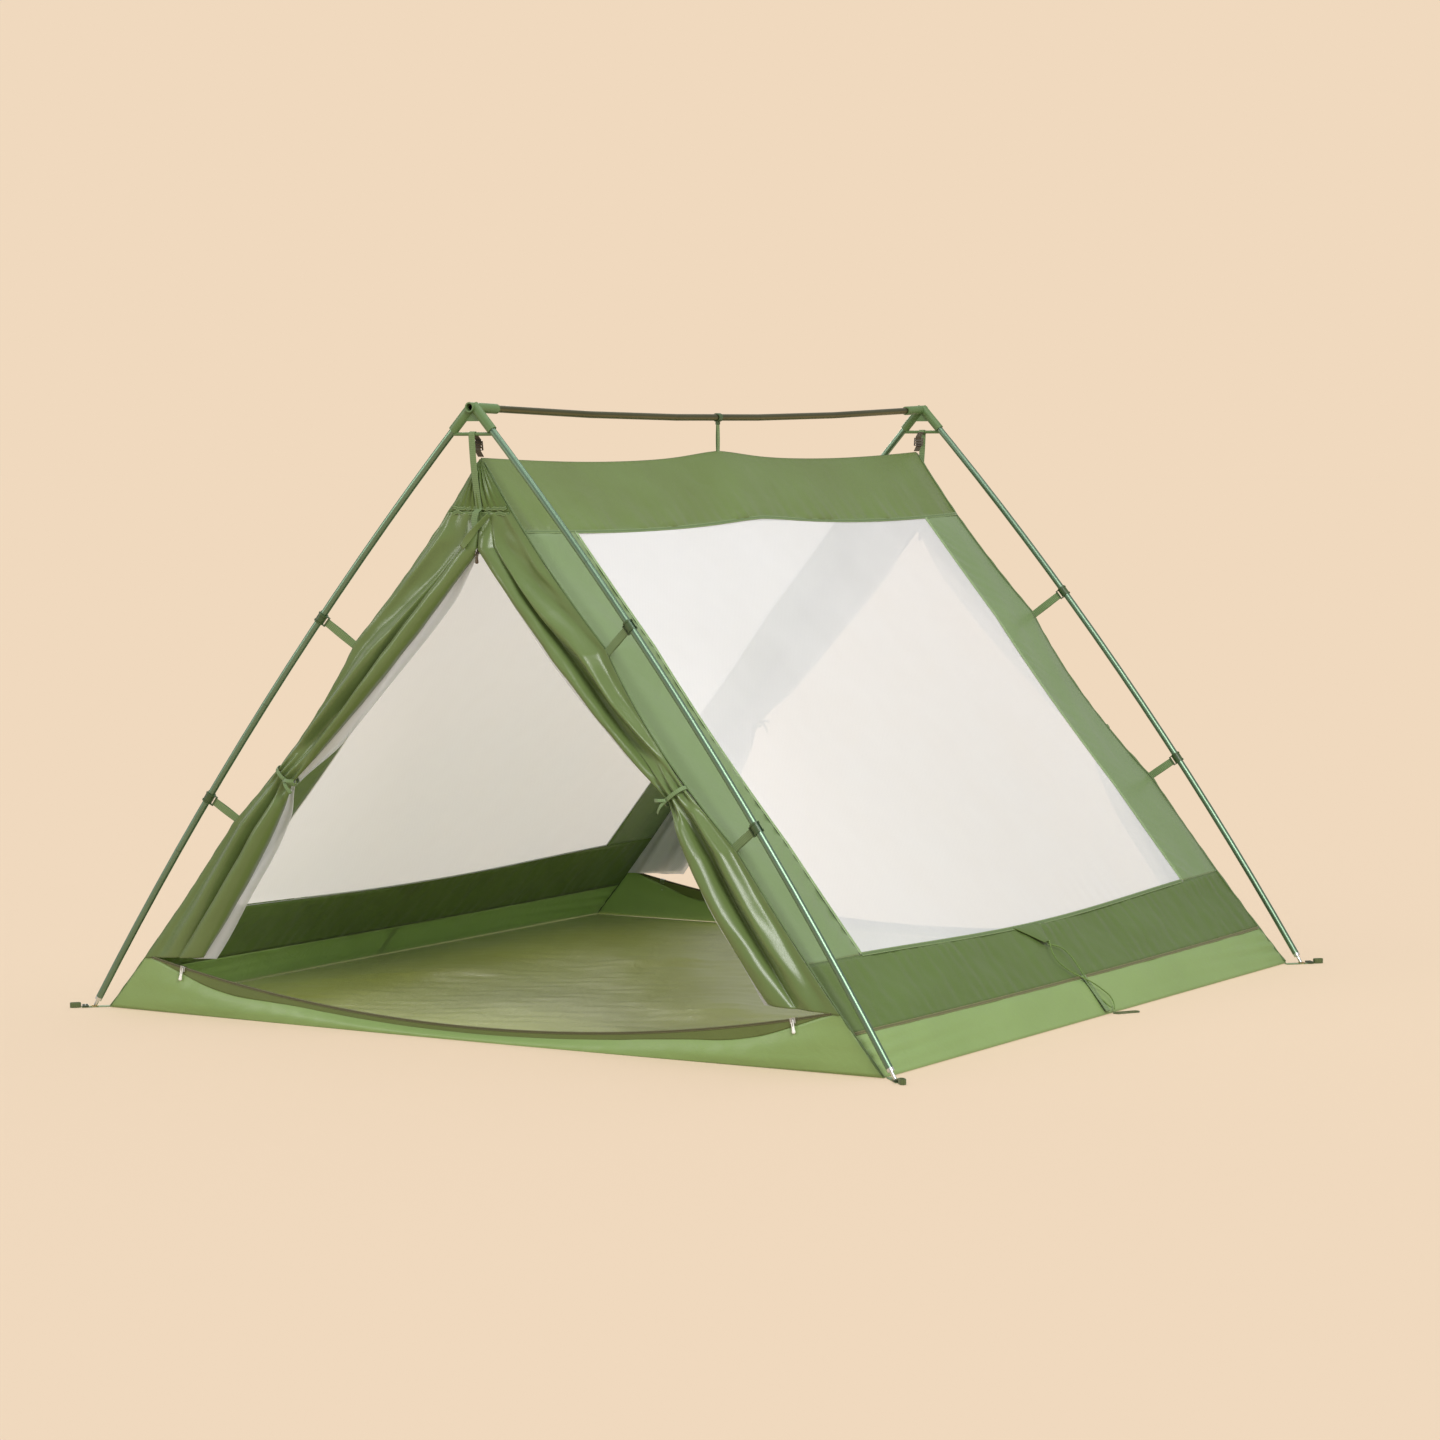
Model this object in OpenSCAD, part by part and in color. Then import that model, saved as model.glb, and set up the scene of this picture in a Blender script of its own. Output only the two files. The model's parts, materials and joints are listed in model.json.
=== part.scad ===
/* [Pole frame] */
// Height of the point where the two leg axes of an A-frame cross
apex_h = 1400; // [1150:10:1700]
// Distance from the middle of the tent to each hub, along the ridge
hub_y = 1030; // [850:5:1250]
// Distance from the middle of the tent to each foot, across the tent
foot_x = 1070; // [880:5:1290]
// How much further out the feet stand than the hubs, along the tent
foot_splay = 28; // [0:1:50]
// Outward bow of a leg under load
leg_bow = 42; // [10:1:60]
// Sag of the ridge pole between its sockets
ridge_sag = 18; // [5:1:40]
// Outside diameter of every pole
pole_d = 16; // [13:0.5:20]
// Wall of the pole tube
pole_wall = 1.2; // [0.8:0.1:1.6]
// Diameter of the elastic cord inside the poles
shock_d = 3; // [2:0.5:4]

/* [Hubs] */
// Length of a leg socket, measured from the apex
leg_socket_len = 76; // [60:1:100]
// Length of the ridge socket, measured from the hub
ridge_socket_len = 89; // [70:1:110]
// Wall of the moulded sockets
socket_wall = 3; // [2:0.5:4]
// How far the ridge axis lies below the apex
ridge_drop = 6; // [4:1:8]
// How far the crossbar lies below the apex
crossbar_drop = 64; // [58:1:70]
// Diameter of the crossbar
crossbar_d = 8; // [6:0.5:10]

/* [Tent body] */
// Height of the fabric ridge
fabric_h = 1285; // [1080:5:1320]
// Half the width of the floor
floor_x = 1035; // [850:5:1050]
// Half the length of the floor
floor_y = 1045; // [860:5:1045]
// Distance from the middle to the fabric peak, along the tent
peak_y = 1000; // [820:5:1010]
// Thickness of a fabric solid
fabric_t = 1; // [0.8:0.1:1.5]
// Height of the seam between the tub and the lower band
tub_h = 87; // [60:1:110]
// Height of the seam between the lower band and the window
band_h = 225; // [190:5:270]
// Height of the seam between the window and the ridge band
window_h = 1123; // [900:5:1160]
// Half the length of the window
window_y = 815; // [600:5:850]

/* [Doors] */
// Height of the seam under the peak gusset
gusset_h = 1166; // [960:5:1200]
// Height of the meeting point of the two open door edges
door_apex_h = 1097; // [880:1:1120]
// Height of the ties that hold the door leaves open
tie_h = 575; // [400:5:700]
// Height of the hems of the door leaves
hem_h = 132; // [125:1:200]
// Distance from the middle to the loose lower corner of a leaf
hem_x = 762; // [560:1:790]
// Thickness of a gathered cover leaf
leaf_t = 14; // [8:1:16]
// Width of a gathered leaf at its tie
tie_w = 46; // [30:1:60]
// Height of the sill at the middle of the doorway
sill_mid_h = 30; // [26:1:50]
// Height of the sill at its ends
sill_end_h = 115; // [100:1:118]
// Distance from the middle to the ends of the sill's top edge
sill_end_x = 850; // [650:5:870]
// Width of the zip band along the sill
sill_w = 22; // [14:1:24]
// Distance from the middle to a parked sill slider
slider_x = 815; // [500:5:830]

/* [Webbing and clips] */
// Width of the webbing
web_w = 20; // [15:1:25]
// Thickness of the webbing
web_t = 1.6; // [1.2:0.1:2]
// Place of the upper leg clip, measured down the leg from the apex
clip_upper = 628; // [550:2:700]
// Place of the lower leg clip, measured down the leg from the apex
clip_lower = 1154; // [1000:2:1180]
// Length of a leg clip along the pole
clip_len = 24; // [18:1:30]
// Diameter of the guy cord
cord_d = 3; // [2:0.5:4]

/* [Hidden] */
$fn = 48;
FIT = 0.15;            // radial clearance of a pole in its socket
HUB_NOSE = 4;          // how far the ridge socket stands out in front of the hub
HUB_WEB = 6;           // thickness of the web between the sockets
HUB_WEB_LOW = 36;      // how far the web reaches down from the apex
APEX_CUT = 2;          // how far below the apex the leg sockets are cut off
SEAM = 0.3;            // space left between neighbouring panels
LEG_SECTIONS = 4;      // tube sections in a leg
RIDGE_SECTIONS = 5;    // tube sections in the ridge pole
FERRULE_LEN = 80;      // length of the insert that joins two sections
FERRULE_FIT = 0.1;     // radial clearance of that insert in a leg
BEND_FIT = 0.5;        // radial clearance of that insert in the ridge pole, whose joints turn
CORD_END = 4;          // distance of a shock cord's end from its pole's end
TIP_SPIGOT = 12;       // how far a foot tip reaches up into its tube
ARC_FN = 1440;         // fineness of the large bends of the poles
TIP_LEN = 30;          // length of the foot tip below its tube
TIP_COLLAR = 8;        // length of the foot tip's collar
TIP_R = 4;             // radius of the foot tip's pin
STOP_GAP = 2;          // space between a pole's end and its socket's floor
FLOOR_SET = 2;         // how far the floor's edge stays inside the walls
TUB_FOOT = 1.5;        // height of the tub walls' lower edges
WALL_SET = 1.5;        // how far an end wall stops short of the side walls
PEAK_CUT = 4;          // how far a gusset stops short of the peak
BORE_START = 24;       // where a leg socket's bore starts, from the apex
BORE_LIP = 10;         // how far the ridge pole's end lies inside the hub
LEAF_GAP = 16;         // space between a door leaf and its seam
MESH_GAP = 1;          // space between a cover leaf and its mesh leaf
MESH_T = 6;            // thickness of a gathered mesh leaf
MESH_PROUD = 16;       // how far a mesh leaf shows past its cover leaf
MESH_SET = 10;         // how much further a mesh leaf stays from the seam
SKIRT_DROP = 6;        // how far below the tie a leaf's skirt begins
TIE_BAND = 8;          // width of the tie's tape
TIE_SIDE = 3;          // space between a tie and the seam side of its leaf
TIE_ROOM = 4;          // space between a tie and the doorway side of its leaf
TIE_FACE = 1;          // space between a tie and its leaf's faces
TOGGLE_D = 8;          // diameter of the tie's toggle
TOGGLE_LEN = 28;       // length of that toggle
TONGUE = 12;           // half width of the tongue between the leaves
TONGUE_GAP = 4;        // space between that tongue and a leaf
TONGUE_LOW = 24;       // how far the tongue reaches below the door's top

frame_lean = atan(foot_splay / apex_h);
leg_drop = norm([apex_h, foot_splay]);
leg_chord = norm([foot_x, leg_drop]);
leg_r = leg_chord * leg_chord / (8 * leg_bow) + leg_bow / 2;
leg_half = asin(leg_chord / 2 / leg_r);
leg_top_angle = atan(foot_x / leg_drop) + leg_half;
leg_len = leg_r * 2 * leg_half * PI / 180;
leg_cx = -leg_r * cos(leg_top_angle);
leg_cz = -leg_r * sin(leg_top_angle);
leg_end = leg_len - TIP_LEN;
socket_od = pole_d + 2 * FIT + 2 * socket_wall;
pole_id = pole_d - 2 * pole_wall;

// The ridge pole sags in a shallow five-sided arch: each section is straight and turns a little
ridge_half_y = hub_y - ridge_socket_len;
ridge_step = 2 * ridge_half_y / RIDGE_SECTIONS;
ridge_angle = atan(ridge_sag / (1.5 * ridge_step));
ridge_mouth_z = apex_h - ridge_drop - ridge_socket_len * tan(ridge_angle);
ridge_low_z = ridge_mouth_z - 1.5 * ridge_step * tan(ridge_angle);

wall_angle = atan(fabric_h / floor_x);
slant_len = norm([fabric_h, floor_x]);
end_lean = atan((floor_y - peak_y) / fabric_h);
end_len = norm([fabric_h, floor_y - peak_y]);
seam_angle = atan(floor_x / end_len);
sill_r = (sill_end_x * sill_end_x + pow(sill_end_h - sill_mid_h, 2)) / (2 * (sill_end_h - sill_mid_h));

function leg_beta(s) = leg_top_angle - s / leg_r * 180 / PI;
function leg_x(s) = leg_cx + leg_r * cos(leg_beta(s));
function leg_z(s) = apex_h + (leg_cz + leg_r * sin(leg_beta(s))) * cos(frame_lean);
function leg_y(s) = -hub_y + (leg_cz + leg_r * sin(leg_beta(s))) * sin(frame_lean);
function wall_x(z) = floor_x * (1 - z / fabric_h);
function wall_y(z) = floor_y - (floor_y - peak_y) * z / fabric_h;
function seam_x(v) = floor_x * (1 - v / end_len);

// Height at which a line square to the leg, at s from the apex, meets the tent's edge
function tab_reach(s) =
    (leg_x(s) * fabric_h + leg_z(s) * floor_x - floor_x * fabric_h) / slant_len
    / cos(leg_beta(s) - 90 + wall_angle);
function tab_end_z(s) = leg_z(s) - tab_reach(s) * sin(leg_beta(s));
function tab_turn(s) = atan((-wall_y(tab_end_z(s)) - leg_y(s)) / tab_reach(s));

// ---- placing ----

// Children are drawn at the front right and set at the named quarter of the tent
module quarter(left, rear) mirror([left ? 1 : 0, 0, 0]) mirror([0, rear ? 1 : 0, 0]) children();

module both_ends() {
    children();
    mirror([0, 1, 0]) children();
}

module both_sides() {
    children();
    mirror([1, 0, 0]) children();
}

module four_corners() both_ends() both_sides() children();

// The plane of the front A-frame: origin at the apex, z up the frame
module a_frame() translate([0, -hub_y, apex_h]) rotate([-frame_lean, 0, 0]) children();

// A station on the front right leg: z runs up the leg, x points outwards
module at_leg(s) a_frame() translate([leg_cx, 0, leg_cz]) rotate([0, -leg_beta(s), 0])
    translate([leg_r, 0, 0]) children();

// The right side wall: x runs to the rear, y up the slope, z outwards
module on_side() translate([floor_x, 0, 0]) rotate([0, wall_angle, 0]) rotate([0, 0, 90]) children();

// The front wall: x across, y up the wall, z outwards
module on_end() translate([0, -floor_y, 0]) rotate([90 - end_lean, 0, 0]) children();

// A station on the sill's top edge: x along the edge, y up, z outwards
module at_sill(x) on_end() translate([0, sill_mid_h + sill_r, 0]) rotate([0, 0, asin(x / sill_r)])
    translate([0, -sill_r, 0]) children();

// A station on the seam between end wall and side wall: y up the seam, x away from the doorway
module at_seam(v) on_end() translate([seam_x(v), v, 0]) rotate([0, 0, seam_angle]) children();

// ---- poles and hubs ----

// Straight tube up from the origin, or a rod where the wall is 0
module tube(d, wall, len) difference() {
    cylinder(d = d, h = len);
    if (wall > 0) translate([0, 0, -1]) cylinder(d = d - 2 * wall, h = len + 2);
}

// Bent tube about the origin in the x-y plane
module bent_tube(r, d, wall, start, angle) rotate([0, 0, start]) rotate_extrude(angle = angle, $fn = ARC_FN)
    translate([r, 0]) difference() {
        circle(d = d);
        if (wall > 0) circle(d = d - 2 * wall);
    }

// Distance of a leg socket's axis from the middle, at a distance below the apex
function socket_x(drop) = leg_x(socket_mid)
    + (drop + leg_cz + leg_r * sin(leg_beta(socket_mid))) * tan(leg_beta(socket_mid));

// Stretch of the front right leg's line, between two distances from the apex
module leg_stretch(s1, s2, d, wall) a_frame() translate([leg_cx, 0, leg_cz]) rotate([90, 0, 0])
    bent_tube(leg_r, d, wall, leg_beta(s2), leg_beta(s1) - leg_beta(s2));

// Straight length along the ridge's line from y1 to y2, on a section that slopes by an angle
module ridge_stretch(y1, y2, z1, slope, d, wall) translate([0, y1, z1]) rotate([slope - 90, 0, 0])
    tube(d, wall, (y2 - y1) / cos(slope));

leg_start = BORE_START + STOP_GAP;
socket_mid = (BORE_START + leg_socket_len) / 2;
function leg_joint(i) = leg_start + (leg_end - leg_start) * i / LEG_SECTIONS;
function ridge_y(i) = -ridge_half_y + ridge_step * i;
function ridge_slope(i) = atan(tan(ridge_angle) * (i - 2) / 2);
function ridge_z(i) = i == 0 ? ridge_mouth_z : ridge_z(i - 1) + ridge_step * tan(ridge_slope(i - 1));
joint_gap = 2 * SEAM;

// The bore runs right through the hub's nose
module ridge_socket_line(from, d, len) translate([0, -hub_y, apex_h - ridge_drop])
    rotate([-90 - ridge_angle, 0, 0]) translate([0, 0, from]) cylinder(d = d, h = len);

module hub() difference() {
    nose = socket_od / 2 + HUB_NOSE;
    union() {
        both_sides() at_leg(socket_mid) translate([0, 0, socket_mid - leg_socket_len])
            cylinder(d = socket_od, h = leg_socket_len - APEX_CUT);
        ridge_socket_line(-nose, socket_od, ridge_socket_len / cos(ridge_angle) + nose);
        a_frame() {
            translate([0, 0, -crossbar_drop]) rotate([0, 90, 0])
                cylinder(d = crossbar_d, h = 2 * socket_x(crossbar_drop), center = true);
            rotate([90, 0, 0]) linear_extrude(HUB_WEB, center = true) polygon([
                [0, -APEX_CUT - HUB_WEB], [socket_x(HUB_WEB_LOW), -HUB_WEB_LOW],
                [-socket_x(HUB_WEB_LOW), -HUB_WEB_LOW]
            ]);
        }
    }
    // These run on past the sockets' mouths, so that the crossbar's ends are cut to the poles
    both_sides() at_leg(socket_mid) translate([0, 0, socket_mid - 2 * leg_socket_len])
        cylinder(d = pole_d + 2 * FIT, h = 2 * leg_socket_len - BORE_START);
    ridge_socket_line(-nose - 1, pole_d + 2 * FIT, 2 * ridge_socket_len);
}

module leg_pole(left, rear) color("#5F7A58") quarter(left, rear) for (i = [0 : LEG_SECTIONS - 1])
    leg_stretch(leg_joint(i) + (i > 0 ? joint_gap : 0), leg_joint(i + 1), pole_d, pole_wall);

// The end sections run on into the hubs' sockets
module ridge_pole() color("#4F4A2E") {
    both_ends() ridge_stretch(ridge_end_y, ridge_y(1), ridge_mouth_z
        - (ridge_end_y + ridge_half_y) * tan(ridge_angle), -ridge_angle, pole_d, pole_wall);
    for (i = [1 : RIDGE_SECTIONS - 2]) ridge_stretch(ridge_y(i) + joint_gap / 2, ridge_y(i + 1)
        - joint_gap / 2, ridge_z(i), ridge_slope(i), pole_d, pole_wall);
}

// Ends of the ridge pole, inside the hubs' noses
ridge_end_y = -hub_y - socket_od / 2 - HUB_NOSE + BORE_LIP;

module pole_ferrules() color("#B9BDB5") {
    half = FERRULE_LEN / 2;
    four_corners() for (i = [1 : LEG_SECTIONS - 1])
        leg_stretch(leg_joint(i) - half, leg_joint(i) + half, pole_id - 2 * FERRULE_FIT, pole_wall);
    for (i = [1 : RIDGE_SECTIONS - 1]) {
        slope = (ridge_slope(i - 1) + ridge_slope(i)) / 2;
        ridge_stretch(ridge_y(i) - half, ridge_y(i) + half, ridge_z(i) - half * tan(slope), slope,
            pole_id - 2 * BEND_FIT, pole_wall);
    }
}

module shock_cords() color("#1F1F1F") {
    four_corners() leg_stretch(leg_start + CORD_END, leg_end - TIP_SPIGOT - CORD_END, shock_d, 0);
    for (i = [0 : RIDGE_SECTIONS - 1])
        ridge_stretch(ridge_y(i) + SEAM, ridge_y(i + 1) - SEAM, ridge_z(i), ridge_slope(i), shock_d, 0);
}

module leg_tips() color("#DADCD6") four_corners() {
    pin_len = TIP_LEN - TIP_COLLAR - TIP_R / cos(leg_beta(leg_len));
    at_leg(leg_end) union() {
        translate([0, 0, -1]) cylinder(d = pole_id - 2 * FERRULE_FIT, h = TIP_SPIGOT + 1);
        translate([0, 0, -TIP_COLLAR]) cylinder(d = pole_d, h = TIP_COLLAR - SEAM);
        translate([0, 0, -TIP_COLLAR - pin_len]) cylinder(r = TIP_R, h = pin_len + 1);
        translate([0, 0, -TIP_COLLAR - pin_len]) sphere(r = TIP_R);
    }
}

// ---- clips on the poles ----

CLIP_WALL = 2.2;     // wall of a clip round the pole
CLIP_RIB = 3.4;      // radius that a clip's end ribs add to the pole's
CLIP_RIB_LEN = 4;    // length of such a rib
CLIP_MOUTH = 9;      // width of the gap that the pole snaps in through
CLIP_BLOCK = 10;     // how far the clip's block reaches towards the tent
CLIP_BLOCK_W = 6;    // width of that block
CLIP_SLOT = 4;       // width of the slot that the webbing goes through
CLIP_BAR = 3;        // bar outside the slot, that the webbing turns round
CLIP_SIDE = 1.5;     // wall at the slot's ends
STRAP_GAP = 1;       // space between webbing and the bar that it turns round
TAB_EDGE = 3;        // how far a clip's webbing stops short of the tent's edge

module leg_clip() {
    ring_r = pole_d / 2 + FIT;
    difference() {
        union() {
            cylinder(r = ring_r + CLIP_WALL, h = clip_len, center = true);
            for (z = [-1, 1]) translate([0, 0, z * (clip_len - CLIP_RIB_LEN) / 2])
                cylinder(r = ring_r + CLIP_RIB, h = CLIP_RIB_LEN, center = true);
            translate([-ring_r - CLIP_BLOCK, -CLIP_BLOCK_W / 2, -clip_len / 2])
                cube([CLIP_BLOCK + SEAM, CLIP_BLOCK_W, clip_len]);
        }
        cylinder(r = ring_r, h = clip_len + 2, center = true);
        translate([0, -CLIP_MOUTH / 2, -clip_len]) cube([ring_r + CLIP_RIB + 1, CLIP_MOUTH, 2 * clip_len]);
        translate([-ring_r - CLIP_BLOCK + CLIP_BAR, -CLIP_BLOCK_W / 2 - 1, CLIP_SIDE - clip_len / 2])
            cube([CLIP_SLOT, CLIP_BLOCK_W + 2, clip_len - 2 * CLIP_SIDE]);
    }
}

// Each clip is turned on its pole to face its webbing
module leg_clips() color("#3E5236") four_corners() for (s = [clip_upper, clip_lower])
    at_leg(s) rotate([0, 0, -tab_turn(s)]) leg_clip();

// Webbing from the tent's edge to just short of the clip's bar
module clip_tabs() color("#7E9A74") four_corners() for (s = [clip_upper, clip_lower]) {
    reach = norm([tab_reach(s), tab_reach(s) * tan(tab_turn(s))]);
    at_leg(s) rotate([0, 0, -tab_turn(s)]) translate([TAB_EDGE - reach, -web_t / 2, -web_w / 2])
        cube([reach - TAB_EDGE - pole_d / 2 - CLIP_BLOCK - STRAP_GAP, web_t, web_w]);
}

STRAP_SLOT = 2.5;    // height of the slot in the ridge clip's lug
LUG_H = 7;           // height of that lug
RIDGE_CLIP_LEN = 16; // length of the ridge clip along the pole
LUG_W = 12;          // width of that lug, and of its strap
LUG_WALL = 2;        // wall round the slot
STRAP_FOOT = 1.5;    // space between the strap's end and the cloth that it is sewn to
lug_low = pole_d / 2 + LUG_WALL + LUG_H;

module ridge_clip() color("#3A3F2B") translate([0, 0, ridge_low_z]) {
    difference() {
        rotate([90, 0, 0]) cylinder(d = pole_d + 2 * (FIT + CLIP_WALL), h = RIDGE_CLIP_LEN, center = true);
        rotate([90, 0, 0]) cylinder(d = pole_d + 2 * FIT, h = 2 * RIDGE_CLIP_LEN, center = true);
    }
    translate([-CLIP_BLOCK_W / 2, -LUG_W / 2, -lug_low]) difference() {
        cube([CLIP_BLOCK_W, LUG_W, LUG_H]);
        translate([-1, LUG_WALL, LUG_WALL]) cube([CLIP_BLOCK_W + 2, LUG_W - 2 * LUG_WALL, STRAP_SLOT]);
    }
}

// Strap from the fabric ridge up to the ridge clip's lug
module ridge_strap() color("#7E9A74") {
    foot = fabric_h + STRAP_FOOT;
    translate([-web_t / 2, -LUG_W / 2, foot]) cube([web_t, LUG_W, ridge_low_z - lug_low - SEAM - foot]);
}

// ---- straps at the peaks ----

TAIL_UP = 6;         // how far above the gusset's seam an apex strap's tail ends
TAIL_OUT = 5;        // how far in front of the wall it ends
APEX_TRIM = 3;       // how much narrower an apex strap is than the other webbing
PEAK_TRIM = 8;       // the same, for its part that is sewn to the peak
BUCKLE_T = 4;        // thickness of a ladder buckle
BUCKLE_RIM = 2.5;    // how far it reaches past the webbing on each side
BUCKLE_SLOT = 3.5;   // width of its slots
BUCKLE_PITCH = 7;    // distance from slot to slot
APEX_SLOTS = 3;      // slots in a buckle at a peak
CORNER_SLOTS = 2;    // slots in a buckle at a corner
BUCKLE_TILT = 8;     // lean of a buckle at a peak, in degrees
BUCKLE_OUT = 4;      // how far it hangs out from the line between crossbar and peak

crossbar_y = -hub_y - crossbar_drop * sin(frame_lean);
crossbar_z = apex_h - crossbar_drop * cos(frame_lean);
wrap_r = crossbar_d / 2 + SEAM;
tail_z = gusset_h + TAIL_UP;
tail_y = -wall_y(tail_z) - TAIL_OUT;
buckle_z = (crossbar_z + fabric_h) / 2;
buckle_y = (crossbar_y - peak_y) / 2 + BUCKLE_OUT;
buckle_half = APEX_SLOTS * BUCKLE_PITCH / 2 + STRAP_GAP;

// Ladder buckle with a number of slots across it, for webbing that runs along x
module ladder(slots) difference() {
    cube([slots * BUCKLE_PITCH, web_w + 2 * BUCKLE_RIM, BUCKLE_T], center = true);
    for (i = [0 : slots - 1]) translate([(i - (slots - 1) / 2) * BUCKLE_PITCH, 0, 0])
        cube([BUCKLE_SLOT, web_w + 1, BUCKLE_T + 2], center = true);
}

// Flat strap between two points of the y-z plane
module strap_run(p, q, w) translate([0, p[0], p[1]])
    rotate([atan2(q[1] - p[1], q[0] - p[0]), 0, 0])
    translate([-w / 2, 0, -web_t / 2]) cube([w, norm(q - p), web_t]);

// Where a strap that runs to p leaves the wrap round the crossbar, on its outer or its inner side
function leave(p, inner) = let (
        way = p - [crossbar_y, crossbar_z],
        mid_r = wrap_r + web_t / 2,
        a = atan2(way[1], way[0]) + (inner ? 1 : -1) * acos(mid_r / norm(way)))
    [crossbar_y + mid_r * cos(a), crossbar_z + mid_r * sin(a)];

module apex_strap() {
    w = web_w - APEX_TRIM;
    tail = [tail_y, tail_z];
    buckle_top = [buckle_y - buckle_half * sin(BUCKLE_TILT), buckle_z + buckle_half];
    translate([0, crossbar_y, crossbar_z]) rotate([0, 90, 0]) difference() {
        cylinder(r = wrap_r + web_t, h = w, center = true);
        cylinder(r = wrap_r, h = w + 2, center = true);
    }
    strap_run(leave(tail, false), tail, w);
    strap_run(leave(buckle_top, true), buckle_top, w);
    strap_run([buckle_y + buckle_half * sin(BUCKLE_TILT), buckle_z - buckle_half],
        [-peak_y, fabric_h + STRAP_FOOT], web_w - PEAK_TRIM);
}

module apex_straps() color("#8FAF86") both_ends() apex_strap();

module apex_buckles() color("#3B3324") both_ends() translate([0, buckle_y, buckle_z])
    rotate([BUCKLE_TILT, 0, 0]) rotate(240, [1, 1, 1]) ladder(APEX_SLOTS);

// ---- side walls ----

// Flat panel on the right wall between two heights; its ends follow the end walls
module side_panel(z1, z2) on_side() translate([0, 0, -fabric_t]) linear_extrude(fabric_t) polygon([
    [-wall_y(z1) + SEAM, z1 / sin(wall_angle) + SEAM], [wall_y(z1) - SEAM, z1 / sin(wall_angle) + SEAM],
    [wall_y(z2) - SEAM, z2 / sin(wall_angle)], [-wall_y(z2) + SEAM, z2 / sin(wall_angle)]
]);

module side_window() on_side() translate([-window_y, band_h / sin(wall_angle) + SEAM, -fabric_t])
    cube([2 * window_y, (window_h - band_h) / sin(wall_angle) - SEAM, fabric_t]);

module side_strip() on_side() translate([0, 0, -fabric_t]) linear_extrude(fabric_t) polygon([
    [-wall_y(band_h) + SEAM, band_h / sin(wall_angle) + SEAM],
    [-window_y - SEAM, band_h / sin(wall_angle) + SEAM],
    [-window_y - SEAM, window_h / sin(wall_angle)], [-wall_y(window_h) + SEAM, window_h / sin(wall_angle)]
]);

module window_right() color("#E4E6EA") side_window();
module window_left() color("#E4E6EA") mirror([1, 0, 0]) side_window();
module lower_band_right() color("#66804A") side_panel(tub_h, band_h);
module lower_band_left() color("#66804A") mirror([1, 0, 0]) side_panel(tub_h, band_h);
module wall_strips() color("#8FA87F") four_corners() side_strip();

// Cross-section of the cloth over the ridge, from window seam to window seam
module ridge_chevron() {
    low = window_h + SEAM;
    inner_x = wall_x(low) - fabric_t * sin(wall_angle);
    inner_z = low - fabric_t * cos(wall_angle);
    polygon([
        [wall_x(low), low], [0, fabric_h], [-wall_x(low), low],
        [-inner_x, inner_z], [0, fabric_h - fabric_t / cos(wall_angle)], [inner_x, inner_z]
    ]);
}

module ridge_band() color("#6F8A4C") difference() {
    rotate([90, 0, 0]) linear_extrude(2 * floor_y, center = true) ridge_chevron();
    both_ends() on_end() translate([-floor_x, 0, -SEAM]) cube([2 * floor_x, 2 * end_len, floor_y / 2]);
}

// ---- floor, tub walls and sills ----

module floor() color("#7A7F3C") translate([FLOOR_SET - floor_x, FLOOR_SET - floor_y, 0])
    cube([2 * (floor_x - FLOOR_SET), 2 * (floor_y - FLOOR_SET), fabric_t]);

module end_trapezoid() polygon([
    [WALL_SET - seam_x(TUB_FOOT), TUB_FOOT], [seam_x(TUB_FOOT) - WALL_SET, TUB_FOOT],
    [seam_x(sill_end_h) - WALL_SET, sill_end_h], [WALL_SET - seam_x(sill_end_h), sill_end_h]
]);

module sill_disc(extra) translate([0, sill_mid_h + sill_r]) circle(r = sill_r + extra, $fn = ARC_FN);

module tub_walls() color("#9DBB73") {
    both_sides() side_panel(TUB_FOOT, tub_h);
    both_ends() on_end() linear_extrude(fabric_t) difference() {
        end_trapezoid();
        sill_disc(sill_w);
    }
}

module sill() on_end() linear_extrude(fabric_t) difference() {
    intersection() {
        end_trapezoid();
        sill_disc(sill_w - SEAM);
    }
    sill_disc(0);
}

module sill_front() color("#4A4A22") sill();
module sill_rear() color("#4A4A22") mirror([0, 1, 0]) sill();

// ---- door walls ----

module gusset() on_end() linear_extrude(fabric_t) {
    half = seam_x(gusset_h) - WALL_SET;
    polygon([[0, end_len - PEAK_CUT], [-half, gusset_h], [half, gusset_h]]);
    translate([-TONGUE, door_apex_h - TONGUE_LOW])
        square([2 * TONGUE, gusset_h - door_apex_h + TONGUE_LOW + SEAM]);
}

module gusset_front() color("#8FA87F") gusset();
module gusset_rear() color("#8FA87F") mirror([0, 1, 0]) gusset();

leaf_top = gusset_h - LEAF_GAP;

// Outline of a gathered leaf. It is set in from its seam and grown towards the doorway, and it is
// narrowest on the line that runs square to the seam at the tie.
module leaf_outline(inset, grow) {
    waist = inset + tie_w + grow;
    polygon([
        [TONGUE + TONGUE_GAP, leaf_top], [seam_x(leaf_top) - inset / cos(seam_angle), leaf_top],
        [seam_x(hem_h) - inset / cos(seam_angle), hem_h], [hem_x - grow, hem_h],
        [seam_x(tie_h) - waist * cos(seam_angle), tie_h - waist * sin(seam_angle)],
        [TONGUE + TONGUE_GAP, door_apex_h]
    ]);
}

// The part of a leaf above its tie, or the skirt below it, cut square to the seam at the tie
module leaf_part(skirt, inset, grow) intersection() {
    leaf_outline(inset, grow);
    translate([seam_x(tie_h), tie_h]) rotate(seam_angle)
        translate([-2 * floor_x, skirt ? -2 * floor_x - SKIRT_DROP - SEAM : -SKIRT_DROP])
            square([2 * floor_x, 2 * floor_x]);
}

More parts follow.
